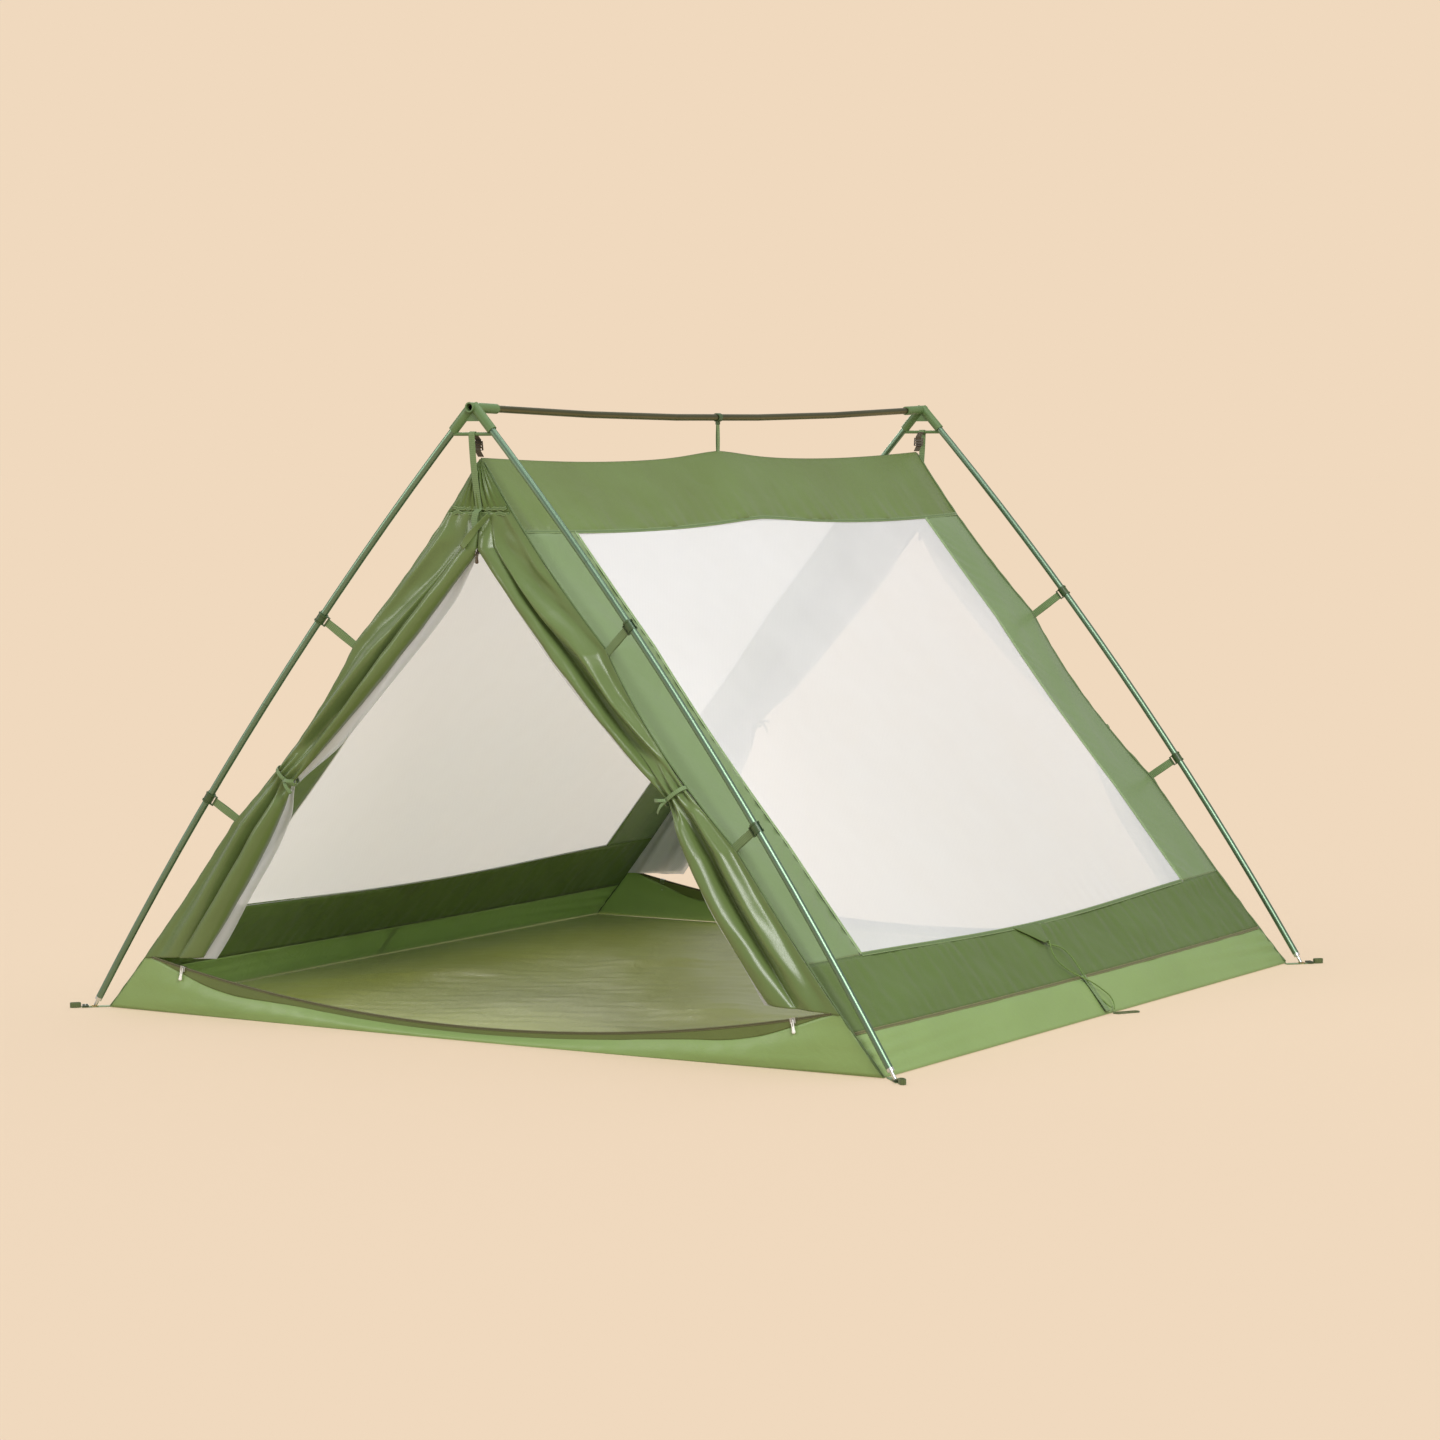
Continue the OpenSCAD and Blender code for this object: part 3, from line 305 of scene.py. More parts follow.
def finish_cloth(thing, material, body="tent", thickness=0.0, nodes=()):
    """Gives a piece its material, its cloth thickness, its body and the CAD nodes it stands for."""
    thing.data.materials.append(material)
    if thickness:
        solid = thing.modifiers.new("thickness", "SOLIDIFY")
        solid.thickness = thickness
        solid.offset = 0
    if body:
        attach(thing, body)
    if nodes:
        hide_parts(*nodes)
    return thing


# Solution-dyed polyester braid: matt, with strands that cross in a check of about 1 mm
guy_cord, tree = new_material("polyester_braid")
place = add(tree, "TexCoord")
strands = add(tree, "Mapping", {"Vector": place.outputs["UV"], "Rotation": (0, 0, 0.7),
                                "Scale": (900, 900, 1)})
plait = add(tree, "TexChecker", {"Vector": strands.outputs[0], "Scale": 1.0,
                                 "Color1": linear("#7D9A4E"), "Color2": linear("#4C6430")})
bump = add(tree, "Bump", {"Height": plait.outputs["Fac"], "Strength": 0.5, "Distance": 0.0004})
shader = principled(tree, plait.outputs["Color"], 0.75, bump.outputs[0])
output(tree, shader)

for side, left in (("left", True), ("right", False)):
    route = mirror_points(smooth_path(on_wall(CORD_ROUTE), 5), left)
    piece = tube("guy_cord_" + side, route, CORD_D / 2, hint=(0, 0.2, 1))
    finish_cloth(piece, guy_cord, "tent", nodes=["side_cord_" + side])


# ---- coated cloth ----
# Polyester taffeta with a satin coating, cut in panels and sewn with flat seams. It shows broad soft folds,
# short puckers along its seams, and lets a little light through.

def ripples(a, b, size, seed, waves=9):
    """Smooth noise of about -1 to 1: a sum of sine waves in seeded directions, size metres long."""
    draw = np.random.default_rng(seed)
    total = np.zeros(np.broadcast(a, b).shape)
    for _ in range(waves):
        heading, stretch = draw.uniform(0, 2 * np.pi), draw.uniform(0.6, 1.7)
        start = draw.uniform(0, 2 * np.pi)
        wave = 2 * np.pi / (size * stretch)
        total = total + np.sin(wave * (np.cos(heading) * a + np.sin(heading) * b) + start)
    return total / np.sqrt(waves / 2) / 1.6


def ease(t):
    """0 below 0, 1 above 1, and t * t * (3 - 2 * t) between."""
    t = np.clip(t, 0, 1)
    return t * t * (3 - 2 * t)


def cloth_material(name, colour, deep, rough=0.4, through=0.22, crinkle=0.35, glow=None):
    """Coated taffeta: two close tints in soft blotches, a weave bump, fine handling creases, and some light
    let through."""
    material, tree = new_material(name)
    place = add(tree, "TexCoord")
    blotch = add(tree, "TexNoise", {"Vector": place.outputs["UV"], "Scale": 3.5, "Detail": 4.0})
    tint = add(tree, "Mix", {0: blotch.outputs[0], 6: linear(colour), 7: linear(deep)}, data_type="RGBA")
    # Threads are about 0.15 mm apart; they are drawn 1.6 mm apart so that they show close to
    weave = add(tree, "TexChecker", {"Vector": place.outputs["UV"], "Scale": 1250.0})
    crease = add(tree, "TexNoise", {"Vector": place.outputs["UV"], "Scale": 16.0, "Detail": 6.0,
                                    "Roughness": 0.55, "Distortion": 0.8})
    fold = add(tree, "TexVoronoi", {"Vector": place.outputs["UV"], "Scale": 5.5, "Randomness": 1.0},
               feature="DISTANCE_TO_EDGE")
    sharp = add(tree, "MapRange", {0: fold.outputs["Distance"], 1: 0.0, 2: 0.05, 3: 0.0, 4: 1.0})
    first = add(tree, "Bump", {"Height": weave.outputs["Fac"], "Strength": 0.06, "Distance": 0.0006})
    second = add(tree, "Bump", {"Height": sharp.outputs[0], "Strength": 0.10, "Distance": 0.002,
                                "Normal": first.outputs[0]})
    third = add(tree, "Bump", {"Height": crease.outputs[0], "Strength": crinkle, "Distance": 0.006,
                               "Normal": second.outputs[0]})
    shader = principled(tree, tint.outputs[2], rough, third.outputs[0], {"Sheen Weight": 0.15,
                                                                         "Sheen Roughness": 0.4})
    behind = add(tree, "BsdfTranslucent", {"Color": linear(glow or colour), "Normal": third.outputs[0]})
    both = add(tree, "MixShader", {0: through, 1: shader.outputs[0], 2: behind.outputs[0]})
    output(tree, both)
    return material


# ---- side walls ----
# Each side is sewn from a lower band, a mesh window between two strips, and half of the ridge band. The wall
# hangs a little slack, is drawn in beside the doors and lifts at the ridge strap.

CLOTH_T = 0.0005
GROUND_GAP = 0.0012  # how far the lowest cloth is drawn over the paper
end_drop = end_y - peak_y
tub_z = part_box("lower_band_right")[0].z
band_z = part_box("window_right")[0].z
window_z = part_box("window_right")[1].z
window_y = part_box("window_right")[1].y
tabs = np.array([v.co for v in frame["nodes"]["clip_tabs"].data.vertices])
tabs = tabs[(tabs[:, 0] > 0) & (tabs[:, 1] < 0)]
high = tabs[:, 2] > tabs[:, 2].mean()
tab_levels = [group[np.argsort(group @ WALL_OUT)[:4], 2].mean() for group in (tabs[~high], tabs[high])]
TIE_LEVELS = [0.0, *tab_levels, ridge_z]
SCALLOPS = (0.008, 0.028, 0.016)


def scallop(z):
    """How far the edge is drawn in at height z: a parabola between each pair of tie points."""
    z = np.asarray(z, float)
    total = np.zeros_like(z)
    for low, top, depth in zip(TIE_LEVELS[:-1], TIE_LEVELS[1:], SCALLOPS):
        t = np.clip((z - low) / (top - low), 0, 1)
        total = total + depth * 4 * t * (1 - t)
    return total


def half_length(z):
    """Distance from the middle to the end wall at height z."""
    return end_y - end_drop * np.asarray(z) / ridge_z


def edge_x(z):
    """Distance from the middle to the edge between side wall and end wall at height z."""
    return side_x * (1 - np.asarray(z) / ridge_z) - scallop(z)


def side_point(y, z, out=0.0):
    """Point of the right wall: its plane, less the scallop that fades away from the ends, less the slack of
    its middle, with the ridge lifted at its strap and sagging beside it."""
    share = np.clip(y / half_length(z), -1, 1)
    near_end = np.exp(-(1 - np.abs(share)) * end_y / 0.16)
    x = side_x * (1 - z / ridge_z) - scallop(z) * near_end
    dip = 0.009 * np.exp(-((y / 0.16) ** 2)) - 0.013 * np.sin(np.pi * np.minimum(np.abs(y) / peak_y, 1))
    rise = (z / ridge_z) ** 5 * dip
    out = out - 0.010 * np.sin(np.pi * np.clip(z / ridge_z, 0, 1)) * (1 - share**2)
    return np.stack([x, y, z + rise], axis=-1) + np.asarray(out)[..., None] * WALL_OUT


def band_seam(y):
    """Height of the seam under the window: it sags by 18 mm in the middle."""
    return band_z - 0.018 * np.cos(np.pi / 2 * np.clip(y / end_y, -1, 1)) ** 2


def window_seam(y):
    """Height of the seam over the window, lifted a little in the middle."""
    return window_z + 0.009 * np.exp(-((y / 0.4) ** 2))


def tub_seam(y):
    """Height of the seam over the tub's side."""
    return tub_z - 0.004 * np.cos(np.pi / 2 * np.clip(y / end_y, -1, 1))


def puckers(along, away, pitch, seed, reach=0.03):
    """Short wrinkles square to a seam: a sine along it that dies away from it."""
    drift = 2.2 * ripples(along, 0 * along, 0.25, seed)
    strength = 0.6 + 0.4 * ripples(along, 0 * along, 0.4, seed + 1)
    return np.sin(2 * np.pi * along / pitch + drift) * strength * np.exp(-np.abs(away) / reach)


def held(away):
    """0 on a seam, 1 from 12 mm away: how freely the cloth beside a seam can fold."""
    return ease(np.abs(away) / 0.012)


def wall_panel(name, ys, zs, counts, relief, left):
    """Panel of a side wall: ys and zs give its ends in y and z for shares across and up; relief gives how far
    it stands out."""
    up, across = np.meshgrid(np.linspace(0, 1, counts[1]), np.linspace(0, 1, counts[0]), indexing="ij")
    low, top = zs
    y = ys(across, (band_z + window_z) / 2)
    z = low(y) + (top(y) - low(y)) * up
    y = ys(across, z)
    points = side_point(y, z, relief(y, z))
    uv = np.stack([y, z / np.sin(wall_angle)], axis=-1)
    points, uv = mirrored(points, uv, left=left)
    return surface_mesh(name, points, uv)


def full_length(across, z):
    """From the front edge to the rear edge."""
    return (2 * across - 1) * half_length(z)


def level(height):
    """A seam at one height."""
    return lambda y: np.full_like(y, height)


ridge_cloth = cloth_material("satin_taffeta_moss", "#728B4C", "#64733A", rough=0.33, through=0.2)
band_cloth = cloth_material("satin_taffeta_fern", "#6B8544", "#5E7338", rough=0.36, through=0.30)
strip_cloth = cloth_material("satin_taffeta_sage", "#849C6C", "#738A5A", rough=0.33, through=0.18)
tub_cloth = cloth_material("coated_tub_cloth", "#A3BE7A", "#90AA66", rough=0.38, through=0.34)

# No-see-um mesh: white 20 denier netting, holes 0.5 mm. Holes that fine are drawn as a veil, with broad
# soft patches and a faint 6 mm check in it
mesh_cloth, tree = new_material("no_see_um_mesh")
place = add(tree, "TexCoord")
shimmer = add(tree, "TexNoise", {"Vector": place.outputs["UV"], "Scale": 5.0, "Detail": 2.0})
veil = add(tree, "TexChecker", {"Vector": place.outputs["UV"], "Scale": 330.0})
dense = add(tree, "MapRange", {0: shimmer.outputs[0], 3: 0.76, 4: 0.88})
grain = add(tree, "Math", {0: veil.outputs["Fac"], 1: 0.04, 2: dense.outputs[0]}, operation="MULTIPLY_ADD")
waves = add(tree, "Bump", {"Height": shimmer.outputs[0], "Strength": 0.12, "Distance": 0.02})
shader = principled(tree, linear("#F4F6FC"), 0.6, waves.outputs[0], {"Sheen Weight": 0.3})
behind = add(tree, "BsdfTranslucent", {"Color": linear("#F5F6FA")})
threads = add(tree, "MixShader", {0: 0.4, 1: shader.outputs[0], 2: behind.outputs[0]})
holes = add(tree, "BsdfTransparent")
both = add(tree, "MixShader", {0: grain.outputs[0], 1: holes.outputs[0], 2: threads.outputs[0]})
output(tree, both)


def band_relief(y, z, seed):
    """Soft diagonal folds, and puckers along both of the band's seams."""
    folds = 0.0022 * ripples(y * 0.7, z * 1.6, 0.22, seed) + 0.0012 * ripples(y, z, 0.07, seed + 3)
    upper = 0.0016 * puckers(y, band_seam(y) - z, 0.034, seed + 5)
    lower = 0.0012 * puckers(y, z - tub_seam(y), 0.045, seed + 7)
    free = held(band_seam(y) - z) * held(z - tub_seam(y)) * held(half_length(z) - np.abs(y))
    return (folds + upper + lower) * free


def window_relief(y, z, seed):
    """Netting held by its four seams: wide shallow waves only."""
    free = held(band_seam(y) - z) * held(z - window_seam(y)) * held(window_y - np.abs(y))
    small = 0.001 * puckers(y, band_seam(y) - z, 0.05, seed + 2, 0.05)
    return free * (0.003 * ripples(y, z, 0.6, seed) + small)


def strip_relief(y, z, seed):
    """Short diagonal puckers beside the window's long seam."""
    slope = z / np.sin(wall_angle)
    away = np.abs(y) - window_y
    small = 0.0030 * puckers(slope + 0.8 * away, away, 0.042, seed, 0.05)
    free = held(away) * held(half_length(z) - np.abs(y)) * held(band_seam(y) - z) * held(z - window_seam(y))
    return free * (small + 0.003 * ripples(y * 1.5, z, 0.2, seed + 4))


def tub_relief(y, z, seed):
    """The tub's side bellies out a little and creases towards its corners."""
    up = np.clip(z / tub_z, 0, 1)
    corner = np.exp(-(end_y - np.abs(y)) / 0.25)
    rays = 0.004 * corner * np.sin(22 * up + 9 * np.abs(y))
    belly = (0.006 * np.sin(np.pi * up) + 0.002 * ripples(y, z, 0.16, seed)) * up
    return (belly + rays * np.sin(np.pi * up)) * held(z - tub_seam(y)) * held(half_length(z) - np.abs(y))


sides = (("left", True, 20), ("right", False, 40))
for side, left, seed in sides:
    piece = wall_panel("lower_band_cloth_" + side, full_length, (tub_seam, band_seam), (360, 16),
                       lambda y, z: band_relief(y, z, seed), left)
    finish_cloth(piece, band_cloth, thickness=CLOTH_T, nodes=["lower_band_" + side])
    piece = wall_panel("window_mesh_" + side, lambda a, z: (2 * a - 1) * window_y, (band_seam, window_seam),
                       (120, 90), lambda y, z: window_relief(y, z, seed + 1), left)
    finish_cloth(piece, mesh_cloth, nodes=["window_" + side])
    for end, sign in (("front", -1), ("rear", 1)):
        ordered = (lambda a, z: -half_length(z) + a * (half_length(z) - window_y)) if sign < 0 else (
            lambda a, z: window_y + a * (half_length(z) - window_y))
        piece = wall_panel("wall_strip_%s_%s" % (end, side), ordered, (band_seam, window_seam), (18, 200),
                           lambda y, z: strip_relief(y, z, seed + 2 + sign), left)
        finish_cloth(piece, strip_cloth, thickness=CLOTH_T)
        if not left and sign < 0:
            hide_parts("wall_strips")
    piece = wall_panel("tub_side_" + side, full_length, (level(GROUND_GAP), tub_seam), (240, 14),
                       lambda y, z: tub_relief(y, z, seed + 6), left)
    finish_cloth(piece, tub_cloth, thickness=CLOTH_T)

# The ridge band runs over the ridge in one piece, with a soft fold along its top
across, over = np.meshgrid(np.linspace(-1, 1, 260), np.linspace(-1, 1, 61), indexing="ij")
share = np.sqrt(over**2 + 0.02**2) - 0.02
share = share / share.max()
z = ridge_z - 0.001 - share * (ridge_z - 0.001 - window_z)
y = across * half_length(z)
z = z + share**4 * (window_seam(y) - window_z)
relief = share * (0.003 * ripples(y * 1.3, over * 0.1, 0.3, 61) + 0.0015 * ripples(y, over * 0.2, 0.09, 62))
relief = relief + 0.0026 * puckers(y, (1 - share) * 0.2, 0.05, 63, 0.04)
relief = relief + 0.0035 * np.sin(2 * np.pi * (y * 2.6 + share * 0.5)) * np.exp(-((y / 0.5) ** 2)) * share
relief = relief * held((1 - share) * 0.2) * held(half_length(z) - np.abs(y))
halves = side_point(y, z, relief)
halves[..., 0] = np.sign(over) * halves[..., 0] * np.minimum(np.abs(over) * 12, 1)
piece = surface_mesh("ridge_band_cloth", halves[:, ::-1], np.stack([y, over * 0.21], axis=-1)[:, ::-1])
finish_cloth(piece, ridge_cloth, thickness=CLOTH_T, nodes=["ridge_band"])


# ---- floor and tub ----
# The floor is heavier coated cloth that lies in shallow folds. The tub's ends rise to the zip sill, which is
# a doubled strip that is widest beside the doorway's corners.

floor_cloth = cloth_material("coated_floor_cloth", "#9CA444", "#8A9038", rough=0.30, through=0.0, crinkle=0.2)
back, across = np.meshgrid(np.linspace(-1, 1, 180), np.linspace(-1, 1, 180), indexing="ij")
FLOOR_INSET = 0.004
x, y = across * (side_x - FLOOR_INSET), back * (end_y - FLOOR_INSET)
inside = (1 - across**8) * (1 - back**8)
heap = 0.5 + 0.5 * ripples(x, y, 0.55, 71)
crossing = np.exp(-((x + 0.35 * y - 0.1) / 0.12) ** 2) + np.exp(-((x - 0.8 * y + 0.5) / 0.10) ** 2)
rays = sum(np.sin(13 * np.arctan2(y - cy, x - cx)) * np.exp(-np.hypot(x - cx, y - cy) / 0.45)
           for cx in (-side_x, side_x) for cy in (-end_y, end_y))
lift = 0.0015 + inside * (0.008 * heap + 0.006 * crossing * heap + 0.003 * np.abs(rays)
                          + 0.0012 * ripples(x, y, 0.12, 72))
points = np.stack([x, y, np.maximum(lift, GROUND_GAP)], axis=-1)
piece = surface_mesh("floor_sheet", points, np.stack([x, y], axis=-1))
finish_cloth(piece, floor_cloth, thickness=CLOTH_T, nodes=["floor"])

arc_centre = next(j for j in frame["joints"] if j["name"] == "slider_front_right_run")["pos_m"]
lean = np.arctan2(end_drop, ridge_z)
SILL_STRIP = 0.022
sill_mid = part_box("sill_front")[0].z / np.cos(lean) + SILL_STRIP
sill_r = arc_centre[2] / np.cos(lean) - sill_mid


def sill_z(x):
    """Height of the sill's zipped edge: an arc that is lowest in the middle of the doorway."""
    return (sill_mid + sill_r - np.sqrt(sill_r**2 - np.asarray(x) ** 2)) * np.cos(lean)


corner_x = 0.912  # where the sill meets the side walls
sill_sheet = cloth_material("doubled_zip_strip", "#66743A", "#56642F", rough=0.40, through=0.05)


def strip_low(x):
    """Lower edge of the sill's strip: 16 mm below the zip in the middle, 34 mm beside the corners, and
    nothing at the corners."""
    share = np.clip(np.abs(x) / corner_x, 0, 1)
    return sill_z(x) - (0.016 + 0.018 * np.exp(-(((share - 0.78) / 0.16) ** 2))) * (1 - share**8)


def end_point(x, z, out=0.0):
    """Point of the front wall: its leaning plane, and a distance out from it."""
    return np.stack(np.broadcast_arrays(x, -half_length(z) - out, z), axis=-1)


def slump(x):
    """How far the cloth at the doorway's foot leans out: most in the middle."""
    return 0.016 * np.cos(np.pi / 2 * np.clip(x / side_x, -1, 1)) ** 1.2


ends = (("front", False, 80), ("rear", True, 90))
for end, rear, seed in ends:
    up, across = np.meshgrid(np.linspace(0, 1, 16), np.linspace(-1, 1, 300), indexing="ij")
    top = strip_low(across * corner_x)
    for _ in range(8):
        top = strip_low(np.clip(across * edge_x(top), -corner_x, corner_x)) + 0.002
    z = GROUND_GAP + np.maximum(top - GROUND_GAP, 0.004) * up
    x = across * edge_x(z)
    folds = 0.004 * ripples(x * 0.6, z * 1.5, 0.30, seed) + 0.0006 * ripples(x, z, 0.08, seed + 1)
    rays = 0.0035 * np.sin(11 * up + 7 * np.abs(x)) * np.exp(-(side_x - np.abs(x)) / 0.16)
    belly = np.sin(np.pi * up)
    out = slump(x) * (1 - up) + belly * (0.006 + folds * 0.8 + rays) * (1 - np.abs(across) ** 12)
    points, uv = end_point(x, z, out), np.stack([x, z], axis=-1)
    points, uv = mirrored(points, uv, rear=rear)
    piece = surface_mesh("tub_end_" + end, points, uv)
    finish_cloth(piece, tub_cloth, thickness=CLOTH_T, nodes=() if rear else ["tub_walls"])

    up, across = np.meshgrid(np.linspace(0, 1, 8), np.linspace(-1, 1, 260), indexing="ij")
    x = across * (corner_x - 0.002)
    z = strip_low(x) + (sill_z(x) - strip_low(x)) * up
    out = 0.0006 + 0.0004 * (1 - up) * ripples(x, z, 0.11, seed + 4)
    points, uv = end_point(x, z, out), np.stack([x, z], axis=-1)
    points, uv = mirrored(points, uv, rear=rear)
    piece = surface_mesh("sill_strip_" + end, points, uv)
    finish_cloth(piece, sill_sheet, thickness=0.0012, nodes=["sill_" + end])


# ---- gussets and door leaves ----
# Under each peak a small gusset is gathered to its strap. From its seam two cover leaves, each with a mesh
# leaf behind it, run down to their ties; below the tie each falls open in a skirt.

apex_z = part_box("apex_sliders")[1].z - 0.004
gusset_z = next(z for z in sorted(v.co.z for v in frame["nodes"]["gusset_front"].data.vertices)
                if z > apex_z + 0.05)
tie_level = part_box("leaf_skirt_front_right")[1].z + 0.02
hem_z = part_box("leaf_skirt_front_right")[0].z
hem_x = min(v.co.x for v in frame["nodes"]["leaf_skirt_front_right"].data.vertices
            if v.co.z < hem_z + 0.002) - 0.008
seam_tilt = np.arctan2(side_x, np.hypot(ridge_z, end_drop))
INWARD = np.array([-np.cos(seam_tilt), -np.sin(seam_tilt)])
BUNDLE = 0.052  # how wide a leaf is where its tie gathers it
MESH_INSET = 0.006  # how far inside its cover's seam a mesh leaf is sewn
TOP_SHARE = 0.1  # how much of an upper leaf's length lies above the slider at the door top
skirt_foot = hem_z - 0.008  # height where a skirt's seam ends


def leaf_sheet(name, seam, inner, out, counts, left, rear):
    """Sheet between two curves of the front right end wall. Row t, column s is seam plus s times the way to
    inner, and stands out by out(s, t)."""
    rows, columns = counts
    t, s = np.meshgrid(np.linspace(0, 1, rows), np.linspace(0, 1, columns), indexing="ij")
    a, b = seam(t), inner(t)
    x = a[0] + (b[0] - a[0]) * s
    z = a[1] + (b[1] - a[1]) * s
    points = end_point(x, z, out(s, t))
    uv = np.stack([x, z], axis=-1)
    points = mirror_points(points, left, rear)
    if left == rear:
        points, uv = points[:, ::-1], uv[:, ::-1]
    return surface_mesh(name, points, uv)


def seam_line(top, foot, inset=0.0):
    """The edge's x and z from height top to height foot, moved to the doorway by the inset."""
    def line(t):
        z = top + (foot - top) * t
        return edge_x(z) - inset, z
    return line


tie_seam = np.array([float(edge_x(tie_level)), tie_level])
tie_inner = tie_seam + INWARD * BUNDLE


def upper_inner(proud):
    """Free edge of an upper leaf: down the middle to the slider, then to the tie, bowed to the doorway."""
    def line(t):
        lower = np.clip((t - TOP_SHARE) / (1 - TOP_SHARE), 0, 1)
        bow = 0.012 * np.sin(np.pi * lower) + proud * ease(lower * 5) * (1 - ease((t - 0.80) / 0.2))
        x = lower * tie_inner[0] + INWARD[0] * bow
        z = np.where(t < TOP_SHARE, gusset_z + (apex_z - gusset_z) * t / TOP_SHARE,
                     apex_z + (tie_inner[1] - apex_z) * lower) + INWARD[1] * bow
        return x, z
    return line


def skirt_inner(proud):
    """Free edge of a skirt: from the tie to the hem's corner, bowed to the doorway."""
    def line(t):
        bow = 0.020 * np.sin(np.pi * t**0.8) + proud * ease(t * 6)
        x = tie_inner[0] + (hem_x - tie_inner[0]) * t + INWARD[0] * bow
        z = tie_inner[1] + (hem_z + 0.004 - tie_inner[1]) * t + INWARD[1] * bow * 0.4
        return x, z
    return line


def bundle_shape(s, seed):
    """The gathered cross-section at the tie: tight pleats over a rounded back."""
    return 0.004 + 0.014 * np.sin(np.pi * s) + 0.005 * np.sin(2 * np.pi * 3.5 * s + seed)


def upper_folds(seed):
    """Folds of an upper leaf: diagonal pleats that drift to the seam, and a rolled free edge."""
    def out(s, t):
        room = np.sin(np.pi * np.clip(t, 0, 1)) ** 0.7
        warp = 0.7 * ripples(s * 0.4, t, 0.5, seed)
        wave = (0.5 + 0.5 * np.sin(2 * np.pi * (1.45 * s + 1.15 * t) + warp + seed)) ** 1.5
        body = 0.032 * room * wave * ease(s / 0.22) * (1 - ease((s - 0.60) / 0.12))
        edge = (0.008 + 0.026 * room) * np.sqrt(np.clip(1 - ((s - 0.84) / 0.16) ** 2, 0, 1))
        fine = 0.0012 * ripples(s * 0.25, t * 0.7, 0.09, seed + 5) * ease(s * 6)
        cloth = 0.002 + body + edge + fine
        gather = ease((t - 0.86) / 0.14)
        pinch = ease((TOP_SHARE - t) / TOP_SHARE)
        top = 0.002 + 0.004 * (0.5 + 0.5 * np.sin(2 * np.pi * 2.2 * s)) * ease(s * 5)
        return (cloth * (1 - gather) + bundle_shape(s, seed) * gather) * (1 - pinch) + top * pinch
    return out


def skirt_folds(seed):
    """Folds of a skirt: pleats that fan out from the tie, a fat roll along the free edge and a flat hem."""
    def out(s, t):
        fan = np.sin(np.pi * np.clip(t, 0, 1) ** 0.8) ** 0.8
        warp = 0.45 * ripples(s * 0.4, t * 0.8, 0.7, seed)
        wave = 0.5 + 0.5 * np.sin(2 * np.pi * (1.9 * s - 0.35 * t) + warp + 1.3 * seed)
        body = (0.006 + 0.022 * fan) * wave * ease(s / 0.2) * (1 - ease((s - 0.55) / 0.12))
        edge = (0.010 + 0.030 * fan + 0.006 * t) * np.sqrt(np.clip(1 - ((s - 0.80) / 0.20) ** 2, 0, 1))
        fine = 0.0010 * ripples(s * 0.3, t * 0.4, 0.10, seed + 5) * ease(s * 6)
        cloth = 0.002 + body + edge + fine
        return cloth * ease(t / 0.14) + bundle_shape(s, seed) * (1 - ease(t / 0.14))
    return out


def mesh_folds(seed):
    """Folds of a mesh leaf, behind its cover."""
    def out(s, t):
        sway = 0.006 * np.sin(2 * np.pi * (1.7 * t + 0.3 * s) + seed) * ease(s * 3)
        pleat = 0.006 * np.sin(2 * np.pi * (2.4 * s - 0.4 * t) + seed) * ease(s * 5)
        return -0.011 - 0.006 * ease(s * 4) + sway * 0.7 + pleat
    return out


door_cloth = cloth_material("satin_taffeta_leaf", "#748A54", "#5E703A", rough=0.28, through=0.16,
                            crinkle=0.14)
for end, rear, seed in ends:
    up, across = np.meshgrid(np.linspace(0, 1, 50), np.linspace(-1, 1, 81), indexing="ij")
    top = ridge_z - 0.004
    z = gusset_z + (top - gusset_z) * up
    x = across * np.maximum(edge_x(z), 0.0015)
    pleats = np.cos(2 * np.pi * 4.5 * across + 0.6) * np.exp(-((across / 0.55) ** 2))
    belly = np.sin(np.pi * up)
    out = 0.002 + 0.010 * belly * (1 - across**2) + 0.0045 * pleats * (0.25 + 0.75 * belly)
    points, uv = end_point(x, z, out), np.stack([x, z], axis=-1)
    points, uv = mirrored(points, uv, rear=rear)
    piece = surface_mesh("peak_gusset_" + end, points, uv)
    finish_cloth(piece, band_cloth, thickness=CLOTH_T, nodes=["gusset_" + end])
    for side, left, extra in sides:
        name, pick = "%s_%s" % (end, side), seed + extra
        upper_seam, lower_seam = seam_line(gusset_z, tie_level), seam_line(tie_level, skirt_foot)
        piece = leaf_sheet("cover_leaf_" + name, upper_seam, upper_inner(0), upper_folds(pick), (150, 64),
                           left, rear)
        finish_cloth(piece, door_cloth, thickness=CLOTH_T)
        if left:
            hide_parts("door_leaves_" + end)
        mesh_seam = seam_line(gusset_z, tie_level, MESH_INSET)
        piece = leaf_sheet("mesh_leaf_" + name, mesh_seam, upper_inner(0.018), mesh_folds(pick), (120, 40),
                           left, rear)
        finish_cloth(piece, mesh_cloth)
        if left:
            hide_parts("mesh_leaves_" + end)
        start = mirror_points([tie_seam[0], -half_length(tie_level), tie_seam[1]], left, rear)
        down = mirror_points([np.sin(seam_tilt), 0, -np.cos(seam_tilt)], left, rear)
        mesh_seam = seam_line(tie_level, skirt_foot, MESH_INSET)
        for kind, seam, proud, folds, cloth, slot in (
                ("cover_skirt_cloth_", lower_seam, 0, skirt_folds(pick), door_cloth, "door_cloth"),
                ("mesh_skirt_cloth_", mesh_seam, 0.022, mesh_folds(pick), mesh_cloth, "mesh")):
            piece = leaf_sheet(kind + name, seam, skirt_inner(proud), folds, (110, 64), left, rear)
            thick = CLOTH_T if cloth is door_cloth else 0
            finish_cloth(piece, cloth, body=None, thickness=thick,
                         nodes=[("leaf_skirt_" if thick else "mesh_skirt_") + name])
            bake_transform(piece)


